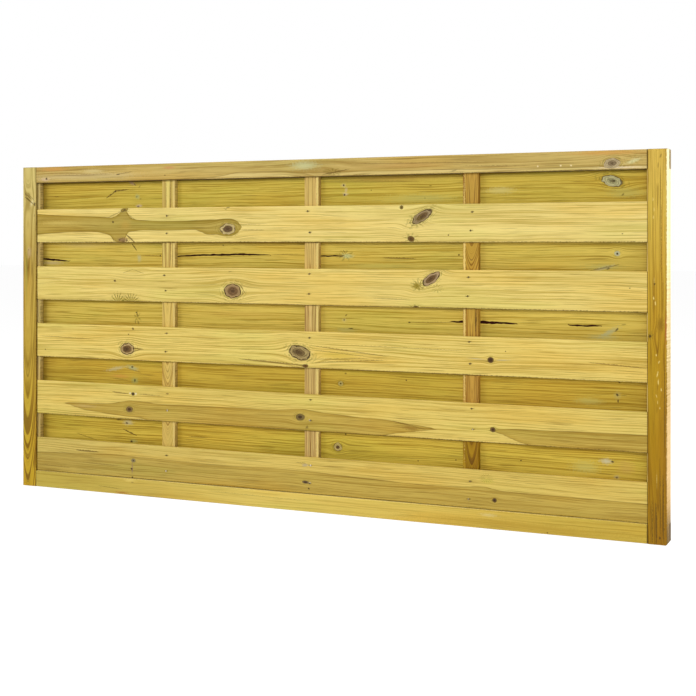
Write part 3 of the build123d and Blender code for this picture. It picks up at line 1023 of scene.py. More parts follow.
def front_slat_5_look():
    """The lowest front slat: heartwood along its lower half, and small dark knots."""
    return Board(
        sap=paint(216, 190, 98), late=paint(174, 144, 58), heart=(0.72, 0.68, 0.52), seed=5.6,
        tops=[
            (0.047, 0.097), (0.113, 0.1), (0.18, 0.102), (0.247, 0.105), (0.297, 0.107), (0.38, 0.104),
            (0.46, 0.103), (0.607, 0.1), (0.707, 0.101), (0.79, 0.103), (0.9, 0.103), (0.967, 0.1),
            (1.067, 0.097), (1.2, 0.093), (1.3, 0.095), (1.367, 0.1), (1.377, 0.098), (1.41, 0.093),
            (1.56, 0.092), (1.755, 0.09),
        ],
        foots=[(0.0, 0.02), (PANEL_LENGTH, 0.02)],
        contrast=0.85,
        tones=[
            (0.0, (0.9, 0.92, 0.98)), (0.45, (0.94, 0.95, 1.0)), (0.9, (1.0, 1.0, 1.0)),
            (1.8, (1.0, 1.0, 0.97)),
        ],
        knots=[
            Knot(0.367, 0.094, 0.007, 0.0055, 0.0, paint(130, 116, 76), KNOT_GREY,
                 inner=0.5, rim=0.3, lift=0.8, collar=0.0),
            Knot(0.887, 0.0745, 0.0085, 0.0038, 0.0, paint(74, 56, 32), paint(124, 104, 66),
                 inner=0.6, rim=0.6, lift=1.2, collar=0.0),
            Knot(1.3907, 0.069, 0.0052, 0.0048, 0.0, paint(66, 46, 22), paint(110, 86, 46),
                 inner=0.6, rim=1.1, lift=1.2, collar=0.0),
        ],
        fans=[Fan(1.37, 0.12, 0.024, 0.014, 9.0, 0.5)],
        spots=[
            Spot(0.361, 0.071, 0.0046, 0.0036), Spot(0.364, 0.048, 0.0044, 0.003),
            Spot(0.8967, 0.059, 0.0034, 0.003), Spot(0.367, 0.094, 0.0028, 0.0024, 0.0, 0.6),
        ],
        streaks=[
            Streak(0.178, 0.1105, 0.255, 0.1095, 0.005, 0.7),
            Streak(0.858, 0.1235, 0.889, 0.1225, 0.002, 0.5), Streak(0.2, 0.078, 0.33, 0.076, 0.003, 0.45),
            Streak(0.05, 0.062, 0.16, 0.06, 0.003, 0.4),
        ],
        patches=[
            Patch(0.8867, 0.118, 0.014, 0.006, paint(176, 162, 130), 0.8),
            Patch(0.3635, 0.073, 0.0035, 0.022, paint(132, 96, 96), 0.6),
            Patch(1.372, 0.114, 0.024, 0.01, paint(196, 186, 70), 0.5),
            Patch(0.899, 0.0735, 0.0045, 0.004, paint(226, 214, 180), 0.8),
        ],
    )


def back_slat_1_look():
    """The top back slat: small marks where a branch grazed it, and one pale knot at its right end."""
    halo = paint(214, 196, 156)
    return Board(
        sap=paint(207, 183, 74), late=paint(164, 134, 32), seed=6.2,
        knots=[
            Knot(1.6735, 0.829, 0.025, 0.0125, -0.28, paint(166, 162, 112), paint(192, 186, 134),
                 inner=0.5, rim=0.8, lift=1.1, collar=0.0),
        ],
        spots=[
            Spot(0.309, 0.828, 0.0065, 0.0036, 0.3), Spot(0.994, 0.8315, 0.0036, 0.0036),
            Spot(0.997, 0.8075, 0.0034, 0.0034), Spot(0.372, 0.845, 0.008, 0.002, -0.8, 0.7),
            Spot(0.378, 0.812, 0.005, 0.003, 0.4, 0.5), Spot(0.39, 0.806, 0.004, 0.003, 0.0, 0.4),
            Spot(1.678, 0.829, 0.004, 0.003), Spot(1.07, 0.818, 0.0022, 0.002, 0.0, 0.8),
            Spot(1.228, 0.826, 0.005, 0.0016, 0.0, 0.6), Spot(1.213, 0.796, 0.002, 0.002, 0.0, 0.6),
            Spot(1.698, 0.797, 0.005, 0.003, 0.6, 0.6), Spot(0.383, 0.7855, 0.006, 0.003, 0.0, 0.7),
            Spot(0.387, 0.839, 0.006, 0.002, 0.8, 0.5),
        ],
        streaks=[
            Streak(0.278, 0.809, 0.312, 0.829, 0.004, 0.85),
            Streak(0.306, 0.828, 0.352, 0.832, 0.004, 0.75),
            Streak(0.106, 0.8155, 0.12, 0.8155, 0.002, 0.6), Streak(0.9, 0.842, 1.2, 0.838, 0.006, 0.35),
        ],
        patches=[
            Patch(0.994, 0.831, 0.009, 0.007, halo, 0.6), Patch(0.999, 0.809, 0.01, 0.007, halo, 0.6),
            Patch(1.001, 0.82, 0.006, 0.01, halo, 0.4),
            Patch(0.362, 0.85, 0.016, 0.007, paint(176, 142, 122), 0.8, -0.5),
            Patch(0.38, 0.812, 0.01, 0.01, paint(160, 176, 120), 0.7),
            Patch(0.385, 0.787, 0.014, 0.006, paint(206, 186, 160), 0.8),
            Patch(1.2, 0.795, 0.14, 0.016, paint(198, 188, 96), 0.7),
            Patch(1.405, 0.812, 0.055, 0.012, paint(210, 196, 120), 0.6),
            Patch(1.13, 0.848, 0.26, 0.014, paint(174, 140, 56), 0.7),
            Patch(1.7, 0.802, 0.06, 0.016, paint(184, 176, 92), 0.6),
            Patch(0.34, 0.8, 0.07, 0.02, paint(216, 192, 76), 0.5),
        ],
    )


def back_slat_2_look():
    """The second back slat, which has three drying cracks."""
    return Board(
        sap=paint(213, 188, 84), late=paint(166, 136, 36), seed=7.4,
        knots=[
            Knot(1.685, 0.6615, 0.0065, 0.006, 0.0, paint(186, 190, 150), paint(200, 196, 150),
                 inner=0.5, rim=0.4, lift=1.8, collar=0.0),
        ],
        fans=[Fan(0.998, 0.655, 0.03, 0.018, 4.0, 0.5)],
        spots=[
            Spot(0.453, 0.652, 0.003, 0.0028), Spot(0.647, 0.68, 0.003, 0.0025),
            Spot(1.301, 0.657, 0.0036, 0.003), Spot(1.685, 0.6615, 0.0034, 0.003),
            Spot(0.996, 0.664, 0.007, 0.0022, -0.9, 0.6), Spot(1.664, 0.626, 0.006, 0.0026, 0.3, 0.7),
        ],
        streaks=[
            Streak(0.362, 0.684, 0.3785, 0.6655, 0.006, 0.8), Streak(1.1, 0.649, 1.19, 0.647, 0.004, 0.6),
            Streak(1.62, 0.621, 1.69, 0.636, 0.004, 0.5), Streak(0.39, 0.652, 0.456, 0.652, 0.0022, 0.5),
            Streak(0.79, 0.656, 0.875, 0.657, 0.002, 0.55),
        ],
        patches=[
            Patch(1.004, 0.653, 0.024, 0.009, paint(196, 202, 140), 0.8),
            Patch(1.655, 0.628, 0.034, 0.006, paint(196, 190, 160), 0.7, 0.25),
            Patch(0.1, 0.63, 0.05, 0.008, paint(206, 186, 136), 0.5),
            Patch(1.1, 0.628, 0.12, 0.01, paint(196, 186, 88), 0.6),
            Patch(1.65, 0.63, 0.06, 0.01, paint(186, 182, 100), 0.6),
            Patch(0.2, 0.68, 0.12, 0.012, paint(196, 170, 100), 0.5),
            Patch(0.386, 0.645, 0.01, 0.014, paint(190, 184, 128), 0.7),
        ],
    )


def back_slat_3_look():
    """The middle back slat, which has two drying cracks."""
    return Board(
        sap=paint(214, 188, 84), late=paint(166, 136, 34), seed=8.8,
        fans=[Fan(0.38, 0.484, 0.014, 0.022, 3.0, 0.6)],
        spots=[
            Spot(0.377, 0.497, 0.0032, 0.0025), Spot(0.384, 0.47, 0.003, 0.006, 0.0, 0.5),
            Spot(1.001, 0.504, 0.005, 0.0022, 0.7, 0.7), Spot(0.996, 0.492, 0.003, 0.003, 0.0, 0.8),
            Spot(0.38, 0.49, 0.004, 0.008, 0.3, 0.5), Spot(1.172, 0.49, 0.005, 0.0025),
            Spot(1.015, 0.471, 0.008, 0.0018), Spot(1.684, 0.486, 0.0075, 0.0028, 0.9, 0.8),
            Spot(1.7, 0.498, 0.008, 0.002, 0.2, 0.4), Spot(0.374, 0.47, 0.003, 0.005, 0.0, 0.5),
        ],
        streaks=[Streak(1.17, 0.49, 1.29, 0.493, 0.0022, 0.55)],
        patches=[
            Patch(1.65, 0.468, 0.05, 0.01, paint(188, 182, 114), 0.7),
            Patch(0.7, 0.5, 0.2, 0.015, paint(206, 168, 74), 0.5),
            Patch(1.0, 0.466, 0.04, 0.008, paint(188, 180, 100), 0.6),
            Patch(1.666, 0.479, 0.032, 0.0085, paint(172, 174, 128), 0.85, 0.5),
            Patch(0.996, 0.4915, 0.009, 0.007, paint(206, 190, 120), 0.6),
        ],
    )


def back_slat_4_look():
    """The fourth back slat: one small knot with a dark core."""
    return Board(
        sap=paint(200, 170, 60), late=paint(158, 124, 22), seed=9.5,
        knots=[
            Knot(0.986, 0.331, 0.0072, 0.0064, 0.0, paint(104, 92, 44), paint(190, 172, 92),
                 inner=0.34, rim=0.6, lift=1.3, collar=0.0),
        ],
        spots=[
            Spot(0.3635, 0.3485, 0.006, 0.0032), Spot(1.0, 0.357, 0.0034, 0.003, 0.0, 0.7),
            Spot(1.164, 0.347, 0.003, 0.0025), Spot(0.372, 0.3125, 0.0034, 0.005),
            Spot(1.687, 0.322, 0.0025, 0.005), Spot(1.685, 0.336, 0.0034, 0.005, 0.5),
            Spot(1.69, 0.3665, 0.0034, 0.005), Spot(1.7, 0.335, 0.01, 0.0016, 0.0, 0.4),
        ],
        streaks=[
            Streak(0.3, 0.315, 0.35, 0.3115, 0.003, 0.4), Streak(0.34, 0.347, 0.392, 0.334, 0.003, 0.45),
        ],
        patches=[
            Patch(0.364, 0.346, 0.026, 0.009, paint(172, 176, 122), 0.85, -0.2),
            Patch(0.372, 0.312, 0.016, 0.012, paint(160, 164, 92), 0.8),
            Patch(0.325, 0.322, 0.045, 0.008, paint(206, 148, 64), 0.7),
            Patch(1.62, 0.318, 0.05, 0.012, paint(190, 180, 96), 0.6),
            Patch(0.31, 0.342, 0.045, 0.007, paint(190, 180, 132), 0.8, 0.2),
            Patch(1.686, 0.334, 0.012, 0.014, paint(176, 164, 96), 0.6),
        ],
    )


def back_slat_5_look():
    """The lowest back slat: one small knot, and marks beside the left batten."""
    return Board(
        sap=paint(208, 180, 66), late=paint(154, 122, 20), seed=10.1,
        knots=[
            Knot(0.978, 0.17, 0.0115, 0.01, 0.0, paint(110, 84, 46), paint(200, 178, 104),
                 inner=0.48, rim=0.9, lift=1.3, collar=0.0),
        ],
        spots=[
            Spot(0.346, 0.195, 0.006, 0.003), Spot(0.32, 0.203, 0.01, 0.003, 0.2, 0.7),
            Spot(1.0, 0.204, 0.0034, 0.0024), Spot(1.195, 0.15, 0.0022, 0.0022),
            Spot(1.293, 0.159, 0.0024, 0.0022), Spot(1.456, 0.169, 0.0026, 0.0025),
            Spot(1.674, 0.181, 0.0042, 0.0034), Spot(0.361, 0.1455, 0.006, 0.004),
            Spot(1.684, 0.145, 0.004, 0.003, 0.0, 0.8),
        ],
        streaks=[
            Streak(0.333, 0.178, 0.379, 0.162, 0.004, 0.85), Streak(0.54, 0.17, 0.6, 0.17, 0.003, 0.5),
            Streak(0.18, 0.158, 0.25, 0.142, 0.003, 0.5),
        ],
        patches=[
            Patch(0.35, 0.196, 0.024, 0.01, paint(188, 180, 140), 0.8),
            Patch(0.368, 0.147, 0.018, 0.008, paint(160, 160, 90), 0.8),
            Patch(1.66, 0.181, 0.02, 0.01, paint(198, 188, 146), 0.8),
            Patch(1.684, 0.146, 0.01, 0.007, paint(180, 164, 112), 0.7),
            Patch(1.61, 0.165, 0.05, 0.02, paint(198, 188, 100), 0.6),
            Patch(1.705, 0.17, 0.03, 0.025, paint(196, 156, 74), 0.5),
        ],
    )


def top_rail_look():
    """The top rail: orange and pale patches, a swirl in its middle, and a knot at its right end."""
    return Board(
        sap=paint(214, 191, 118), late=paint(168, 138, 66), heart=(0.8, 0.74, 0.58), seed=11.4, contrast=0.9,
        joints=SHOULDERS, ends=(0.0, PANEL_LENGTH), end_tone=paint(150, 128, 78), centre=0.8775,
        tops=[(0.0, 0.915), (1.8, 0.915)],
        foots=[
            (0.0, 0.8545), (0.56, 0.855), (0.64, 0.861), (0.707, 0.87), (0.807, 0.87), (0.873, 0.865),
            (1.05, 0.864), (1.3, 0.8625), (1.62, 0.862), (1.8, 0.862),
        ],
        knots=[
            Knot(1.673, 0.87, 0.0185, 0.0115, 0.1, paint(146, 126, 90), paint(190, 170, 126),
                 inner=0.6, rim=0.4, lift=1.2, collar=0.0),
        ],
        swells=[Swell(0.94, 0.868, 0.05, 0.016, 1.4), Swell(0.24, 0.884, 0.05, 0.01, 0.8)],
        fans=[Fan(0.965, 0.866, 0.034, 0.012, 5.0, 0.6), Fan(1.722, 0.878, 0.03, 0.018, 4.0, 0.2)],
        spots=[
            Spot(0.0777, 0.867, 0.005, 0.0044), Spot(0.317, 0.874, 0.009, 0.0022, 0.15, 0.8),
            Spot(0.467, 0.868, 0.003, 0.0024, 0.0, 0.7), Spot(1.287, 0.8615, 0.011, 0.0018, 0.2, 0.6),
        ],
        streaks=[
            Streak(0.318, 0.875, 0.362, 0.88, 0.0026, 0.5), Streak(0.933, 0.859, 1.01, 0.872, 0.0034, 0.6),
            Streak(1.3, 0.872, 1.48, 0.869, 0.003, 0.4), Streak(0.1, 0.876, 0.3, 0.873, 0.0026, 0.4),
            Streak(1.02, 0.885, 1.4, 0.88, 0.003, 0.35),
        ],
        patches=[
            Patch(0.1, 0.893, 0.075, 0.0085, paint(212, 150, 76), 0.75),
            Patch(1.66, 0.894, 0.12, 0.008, paint(206, 150, 72), 0.6),
            Patch(0.885, 0.884, 0.056, 0.015, paint(196, 198, 146), 0.85),
            Patch(0.073, 0.865, 0.026, 0.007, paint(206, 178, 142), 0.8),
            Patch(1.69, 0.8595, 0.08, 0.0036, paint(228, 208, 168), 0.9),
            Patch(1.722, 0.874, 0.026, 0.0065, paint(212, 204, 144), 0.8, 0.35),
            Patch(0.2, 0.872, 0.26, 0.012, paint(206, 188, 136), 0.5),
            Patch(0.48, 0.889, 0.028, 0.006, paint(196, 136, 84), 0.65),
            Patch(0.235, 0.885, 0.05, 0.008, paint(216, 200, 140), 0.6),
            Patch(1.497, 0.867, 0.003, 0.003, paint(236, 220, 170), 0.8),
            Patch(1.552, 0.867, 0.003, 0.003, paint(236, 220, 170), 0.8),
            Patch(1.577, 0.867, 0.003, 0.003, paint(236, 220, 170), 0.8),
            Patch(0.42, 0.896, 0.38, 0.0035, paint(176, 152, 58), 0.5),
            # Painted shade along the rail's lower arris
            Patch(MID_LENGTH, 0.8548, PANEL_LENGTH, 0.003, PITCH, 0.9),
            Patch(1.15, 0.878, 0.16, 0.008, paint(196, 148, 84), 0.35),
        ],
    )


def bottom_rail_look():
    """The bottom rail: plain, with a painted highlight along its upper arris, and darker towards both ends.
    """
    return Board(
        sap=paint(220, 196, 102), late=paint(178, 148, 58), seed=12.2, contrast=0.5,
        joints=SHOULDERS, ends=(0.0, PANEL_LENGTH), end_tone=paint(98, 74, 26), centre=0.0225,
        tones=[
            (0.0, (0.72, 0.7, 0.48)), (0.4, (0.8, 0.78, 0.64)), (0.75, (1.0, 1.0, 0.98)),
            (1.2, (0.96, 0.92, 0.76)), (1.5, (0.86, 0.8, 0.52)), (1.8, (0.76, 0.7, 0.38)),
        ],
        swells=[Swell(0.36, 0.04, 0.05, 0.01, 0.8)],
        spots=[Spot(1.52, 0.003, 0.003, 0.003, 0.0, 0.8), Spot(0.364, 0.034, 0.006, 0.0024, 0.0, 0.4)],
        streaks=[Streak(0.25, 0.017, 0.33, 0.013, 0.0026, 0.4), Streak(0.6, 0.03, 0.9, 0.026, 0.0026, 0.3)],
        patches=[
            Patch(0.33, 0.004, 0.034, 0.0045, paint(160, 92, 40), 0.7),
            Patch(0.355, 0.039, 0.03, 0.006, paint(226, 204, 112), 0.7),
            Patch(1.45, 0.012, 0.38, 0.018, paint(176, 142, 44), 0.5),
            Patch(1.375, 0.032, 0.03, 0.006, paint(226, 216, 160), 0.4),
            # Painted highlight along the rail's upper arris
            Patch(MID_LENGTH, 0.0444, WHOLE, 0.002, paint(248, 230, 146), 0.9),
        ],
    )


def left_stile_look():
    """The left stile: broad arched rings that close up towards the top, and a branch scar."""
    return Board(
        sap=paint(222, 200, 122), late=paint(142, 112, 20), ring=0.0072, contrast=0.75, wave=0.006, seed=13.9,
        centre=0.018, pith=0.019, bands=0.85,
        climb=[(0.0, 0.0), (0.2, 0.022), (0.33, 0.031), (0.6, 0.039), (0.9, 0.044)],
        ends=(0.0, PANEL_HEIGHT), end_tone=paint(176, 152, 84),
        tones=[
            (0.0, (0.71, 0.57, 0.08)), (0.12, (0.76, 0.62, 0.1)), (0.35, (0.73, 0.61, 0.2)),
            (0.62, (0.7, 0.61, 0.33)), (0.78, (0.84, 0.84, 0.76)), (0.9, (0.86, 0.87, 0.84)),
        ],
        swells=[Swell(0.808, 0.026, 0.026, 0.01, 0.8)],
        spots=[
            Spot(0.795, 0.037, 0.008, 0.003, 0.0, 0.9), Spot(0.822, 0.006, 0.007, 0.0022, -0.6, 0.7),
            Spot(0.812, 0.013, 0.007, 0.0022, -0.8, 0.6), Spot(0.764, 0.036, 0.006, 0.0015, 0.3, 0.6),
            Spot(0.667, 0.016, 0.0024, 0.0022, 0.0, 0.6),
        ],
        streaks=[
            Streak(0.818, 0.002, 0.794, 0.036, 0.007, 0.75), Streak(0.83, 0.002, 0.808, 0.028, 0.005, 0.6),
            Streak(0.826, 0.014, 0.806, 0.036, 0.004, 0.5),
        ],
        patches=[
            Patch(0.8, 0.028, 0.016, 0.007, paint(220, 206, 150), 0.8, 0.6),
            Patch(0.66, 0.018, 0.022, 0.012, paint(196, 168, 128), 0.6),
            Patch(0.6, 0.008, 0.14, 0.006, paint(150, 150, 60), 0.5),
            # Painted shade along the stile's inner arris and the lip beside the slats
            Patch(MID_HEIGHT, 0.0415, WHOLE, 0.0018, PITCH, 0.95),
        ],
    )


def right_stile_look():
    """The right stile, whose outer side is darkest at its foot, with pale flecks and a painted highlight on
    its outer corner.
    """
    fleck = paint(232, 210, 124)
    return Board(
        sap=paint(226, 196, 110), late=paint(146, 106, 14), ring=0.009, contrast=0.6, wave=0.01, seed=14.6,
        centre=1.778, climb=[(0.0, 0.0), (0.3, 0.01), (0.9, 0.018)],
        ends=(0.0, PANEL_HEIGHT), end_tone=paint(176, 146, 76),
        tones=[
            (0.0, (0.43, 0.31, 0.01)), (0.1, (0.46, 0.34, 0.01)), (0.24, (0.5, 0.38, 0.01)),
            (0.45, (0.62, 0.52, 0.06)), (0.58, (0.7, 0.61, 0.16)), (0.78, (0.88, 0.82, 0.42)),
            (0.9, (0.92, 0.87, 0.52)),
        ],
        swells=[Swell(0.473, 1.76, 0.012, 0.007, 1.2)],
        fans=[Fan(0.473, 1.76, 0.014, 0.01, 4.0, 0.5)],
        spots=[
            Spot(0.473, 1.76, 0.005, 0.0048), Spot(0.885, 1.784, 0.007, 0.003, 0.3, 0.45),
            Spot(0.862, 1.778, 0.008, 0.002, 0.0, 0.4), Spot(0.592, 1.77, 0.0028, 0.0028, 0.0, 0.8),
            Spot(0.015, 1.782, 0.005, 0.0026, 0.0, 0.8),
        ],
        streaks=[
            Streak(0.2, 1.792, 0.43, 1.793, 0.003, 0.6), Streak(0.0, 1.79, 0.16, 1.789, 0.004, 0.7),
            Streak(0.0, 1.774, 0.095, 1.773, 0.004, 0.7), Streak(0.0, 1.765, 0.1, 1.764, 0.003, 0.6),
            Streak(0.02, 1.783, 0.2, 1.782, 0.003, 0.5), Streak(0.6, 1.785, 0.86, 1.783, 0.003, 0.45),
        ],
        patches=[
            Patch(0.5, 1.783, 0.026, 0.012, paint(140, 104, 16), 0.8),
            Patch(0.22, 1.79, 0.26, 0.01, paint(156, 112, 14), 0.5),
            Patch(0.7, 1.789, 0.16, 0.004, paint(214, 166, 56), 0.5),
            Patch(0.49, 1.7955, 0.055, 0.003, paint(176, 96, 44), 0.7),
            Patch(0.387, 1.7765, 0.009, 0.0019, fleck, 0.8, 0.2),
            Patch(0.369, 1.7785, 0.008, 0.0019, fleck, 0.8), Patch(0.147, 1.775, 0.022, 0.0012, fleck, 0.4),
            Patch(0.785, 1.7665, 0.007, 0.0019, fleck, 0.8), Patch(0.762, 1.769, 0.007, 0.0019, fleck, 0.8),
            Patch(0.745, 1.7675, 0.005, 0.0019, fleck, 0.8), Patch(0.6, 1.769, 0.012, 0.0012, fleck, 0.5),
            Patch(0.56, 1.768, 0.006, 0.0019, fleck, 0.9), Patch(0.548, 1.772, 0.006, 0.0019, fleck, 0.9),
            Patch(0.415, 1.78, 0.006, 0.0019, fleck, 0.7, 0.4),
            Patch(0.352, 1.785, 0.005, 0.0019, fleck, 0.9), Patch(0.43, 1.774, 0.004, 0.0019, fleck, 0.9),
            Patch(0.338, 1.774, 0.005, 0.0012, fleck, 0.7, -0.3),
            Patch(0.323, 1.777, 0.005, 0.0012, fleck, 0.7), Patch(0.31, 1.782, 0.005, 0.0012, fleck, 0.6),
            # A painted highlight on the outer arris and side, palest up high and less pale lower down; the
            # foot keeps its dark colour
            Patch(0.95, 1.7996, 0.95, 0.0042, paint(252, 238, 184), 1.0),
            Patch(0.2, 1.7996, 0.26, 0.0042, paint(226, 190, 130), 1.0),
            Patch(0.0, 1.7996, 0.1, 0.0044, paint(98, 76, 28), 1.0),
        ],
    )


def front_slat_looks():
    """The five front slats, from the top down, with painted shadow and grime in their joints with the stiles.
    """
    looks = [front_slat_1_look(), front_slat_2_look(), front_slat_3_look(), front_slat_4_look()]
    looks.append(front_slat_5_look())
    return [replace(look, joints=SHOULDERS) for look in looks]


def back_slat_looks():
    """The five back slats, from the top down. Their marks are read through the front gaps."""
    looks = [back_slat_1_look(), back_slat_2_look(), back_slat_3_look(), back_slat_4_look()]
    looks.append(back_slat_5_look())
    looks = [replace(look, tones=BACK_SHADE) for look in looks]
    return [settled_behind(look, BACK_SLAT_FACE_Y) for look in looks]


def frame_looks():
    """The rails and stiles. A stile's marks lie at (height, place along the panel)."""
    rails = {"top_rail": top_rail_look(), "bottom_rail": bottom_rail_look()}
    stiles = {"left_stile": left_stile_look(), "right_stile": right_stile_look()}
    looks = {name: settled_behind(look, BAR_FACE_Y) for name, look in rails.items()}
    return looks | {name: settled_behind(look, BAR_FACE_Y, upright=True) for name, look in stiles.items()}


def batten_looks():
    """The upright battens, pinker than the slats. Their marks lie at (height, place along the panel)."""
    ends = dict(sap=paint(232, 208, 132), late=paint(176, 144, 66), contrast=0.7)
    end_middle = 0.041
    stile_shadow = Patch(MID_HEIGHT, 0.0498, WHOLE, 0.0014, paint(112, 86, 32), 1.0)
    looks = [middle_batten_1_look(), middle_batten_2_look(), middle_batten_3_look()]
    return {
        "left_end_batten": Board(**ends, centre=end_middle, seed=15.1, patches=[stile_shadow]),
        "right_end_batten": Board(**ends, centre=PANEL_LENGTH - end_middle, seed=16.3),
    } | {f"middle_batten_{number}": look for number, look in enumerate(looks, 1)}


def batten_middle(number):
    low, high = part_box(f"middle_batten_{number}")
    return (low.x + high.x) / 2


def lit_right_edge(middle, place, width, colour, share):
    """A middle batten's pale right edge, and its side beyond it, which is in shade."""
    shade = paint(132, 102, 42)
    return [
        Patch(MID_HEIGHT, middle + place, WHOLE, width, colour, share),
        Patch(MID_HEIGHT, middle + 0.0207, WHOLE, 0.0012, shade, 0.9),
    ]


def middle_batten_1_look():
    """The left batten: tall arched rings and two dark streaks near its top."""
    middle = batten_middle(1)
    return Board(
        sap=paint(235, 207, 130), late=paint(164, 120, 58), ring=0.0042, contrast=0.8, wave=0.006, seed=17.7,
        centre=middle - 0.002, pith=0.01,
        climb=[(0.0, 0.0), (0.4, 0.084), (0.5, 0.092), (0.62, 0.095), (0.9, 0.097)],
        tones=[
            (0.0, (0.76, 0.7, 0.46)), (0.3, (0.8, 0.76, 0.5)), (0.6, (0.88, 0.89, 0.68)),
            (0.9, (0.92, 0.93, 0.7)),
        ],
        streaks=[
            Streak(0.65, middle - 0.008, 0.86, middle - 0.007, 0.003, 0.5),
            Streak(0.62, middle + 0.007, 0.86, middle + 0.006, 0.0036, 0.5),
        ],
        patches=lit_right_edge(middle, 0.0175, 0.0045, paint(226, 200, 122), 0.9),
    )


def middle_batten_2_look():
    """The middle batten: fine straight grain."""
    middle = batten_middle(2)
    return Board(
        sap=paint(224, 192, 120), late=paint(156, 112, 52), ring=0.004, contrast=0.9, wave=0.005, seed=18.2,
        centre=middle - 0.003, climb=[(0.0, 0.0), (0.9, 0.02)],
        tones=[
            (0.0, (0.86, 0.84, 0.78)), (0.45, (0.88, 0.86, 0.8)), (0.62, (0.94, 0.9, 0.74)),
            (0.9, (0.94, 0.92, 0.76)),
        ],
        patches=lit_right_edge(middle, 0.0165, 0.005, paint(230, 206, 122), 1.0),
    )


def middle_batten_3_look():
    """The right batten: arched rings, darker towards its foot, with one dark streak in its third gap."""
    middle = batten_middle(3)
    return Board(
        sap=paint(224, 192, 120), late=paint(156, 112, 52), ring=0.0042, contrast=1.0, wave=0.006, seed=19.8,
        centre=middle + 0.003, pith=0.01,
        climb=[(0.0, 0.0), (0.21, 0.04), (0.3, 0.046), (0.6, 0.056), (0.7, 0.078), (0.9, 0.09)],
        tones=[
            (0.0, (0.47, 0.38, 0.01)), (0.2, (0.49, 0.4, 0.02)), (0.28, (0.72, 0.62, 0.3)),
            (0.5, (0.76, 0.62, 0.23)), (0.66, (0.72, 0.58, 0.19)), (0.9, (0.77, 0.67, 0.3)),
        ],
        spots=[Spot(0.497, middle + 0.014, 0.014, 0.0012, 0.1, 0.9)],
        streaks=[Streak(0.47, middle + 0.012, 0.53, middle + 0.013, 0.003, 0.8)],
        patches=[Patch(0.55, middle - 0.016, 0.46, 0.0042, paint(244, 216, 128), 0.95)],
    )


def rounded_outline(corners, parts, arc_steps=4):
    """Points round a closed outline of (a, b, radius) corners, each side cut into its number of parts."""
    runs = []
    for index, (a, b, radius) in enumerate(corners):
        corner = Vector((a, b))
        back = (Vector(corners[index - 1][:2]) - corner).normalized()
        ahead = (Vector(corners[(index + 1) % len(corners)][:2]) - corner).normalized()
        if radius == 0:
            runs.append([corner])
            continue
        centre = corner + radius * (back + ahead)
        turns = [math.pi / 2 * step / arc_steps for step in range(arc_steps + 1)]
        runs.append([centre - radius * (ahead * math.cos(turn) + back * math.sin(turn)) for turn in turns])
    points = []
    for index, run in enumerate(runs):
        points += run
        start, end = run[-1], runs[(index + 1) % len(runs)][0]
        points += [start.lerp(end, part / parts[index]) for part in range(1, parts[index])]
    return points


def inward(outline, index):
    """The direction into a closed outline at one of its points."""
    tangent = outline[(index + 1) % len(outline)] - outline[index - 1]
    return Vector((-tangent.y, tangent.x)).normalized()


def shrunk(outline, amount):
    """The same outline drawn in by an amount all round."""
    return [point + amount * inward(outline, index) for index, point in enumerate(outline)]


def even_steps(start, end, cell):
    """Places from start to end, as near to a cell apart as even spacing allows."""
    count = max(1, round((end - start) / cell))
    return [start + (end - start) * step / count for step in range(count + 1)]


def worn_steps():
    """How far in from a bar's end the sections of its worn corner lie, from the end inwards."""
    turns = [math.pi / 2 * step / WEAR_STEPS for step in range(1, WEAR_STEPS + 1)]
    return [CORNER_WEAR * (1 - math.cos(turn)) for turn in turns]


def worn_reach(distance):
    """How much of its wear a worn corner has kept at a distance in from the bar's end."""
    missing = max(0.0, CORNER_WEAR - distance)
    return math.sqrt(max(0.0, CORNER_WEAR**2 - missing**2))


def prism_faces(size, rows):
    """The faces of a closed bar with so many points to a row."""
    faces = []
    for row in range(rows - 1):
        for index in range(size):
            first, second = row * size + index, row * size + (index + 1) % size
            faces.append((first, second, second + size, first + size))
    faces.append(tuple(reversed(range(size))))
    faces.append(tuple(range((rows - 1) * size, rows * size)))
    return faces


def swept_bar(name, stations, upright, seed, worn=None):
    """A closed bar through the same outline at each station, drawn in by a hair where the timber dips."""
    points = []
    for along, outline in stations:
        for index, point in enumerate(outline):
            place = Vector((DIPS_ALONG * along, DIPS_ACROSS * point.x + seed, DIPS_ACROSS * point.y))
            dip = UNEVEN * (0.5 + 0.5 * noise.noise(place))
            a, b = point + dip * inward(outline, index)
            if worn:
                a = worn(a, along)
            points.append((a, b, along) if upright else (along, b, a))
    mesh = bpy.data.meshes.new(name)
    mesh.from_pydata(points, [], prism_faces(len(stations[0][1]), len(stations)))
    bar = bmesh.new()
    bar.from_mesh(mesh)
    bmesh.ops.recalc_face_normals(bar, faces=bar.faces)
    bar.to_mesh(mesh)
    bar.free()
    smooth(mesh)
    return new_piece(name, mesh)


def cut_away(piece, prisms):
    """The piece less some upright prisms, each an (x, y) outline between two heights."""
    cutters = []
    for outline, (foot, top) in prisms:
        points = [(x, y, z) for z in (foot, top) for x, y in outline]
        mesh = bpy.data.meshes.new("cutter")
        mesh.from_pydata(points, [], prism_faces(len(outline), 2))
        cutter = new_piece("cutter", mesh)
        cut = piece.modifiers.new("cut", "BOOLEAN")
        cut.operation, cut.solver, cut.object = "DIFFERENCE", "EXACT", cutter
        cutters.append(cutter)
    settle(piece)
    for cutter in cutters:
        bpy.data.objects.remove(cutter)
    return piece


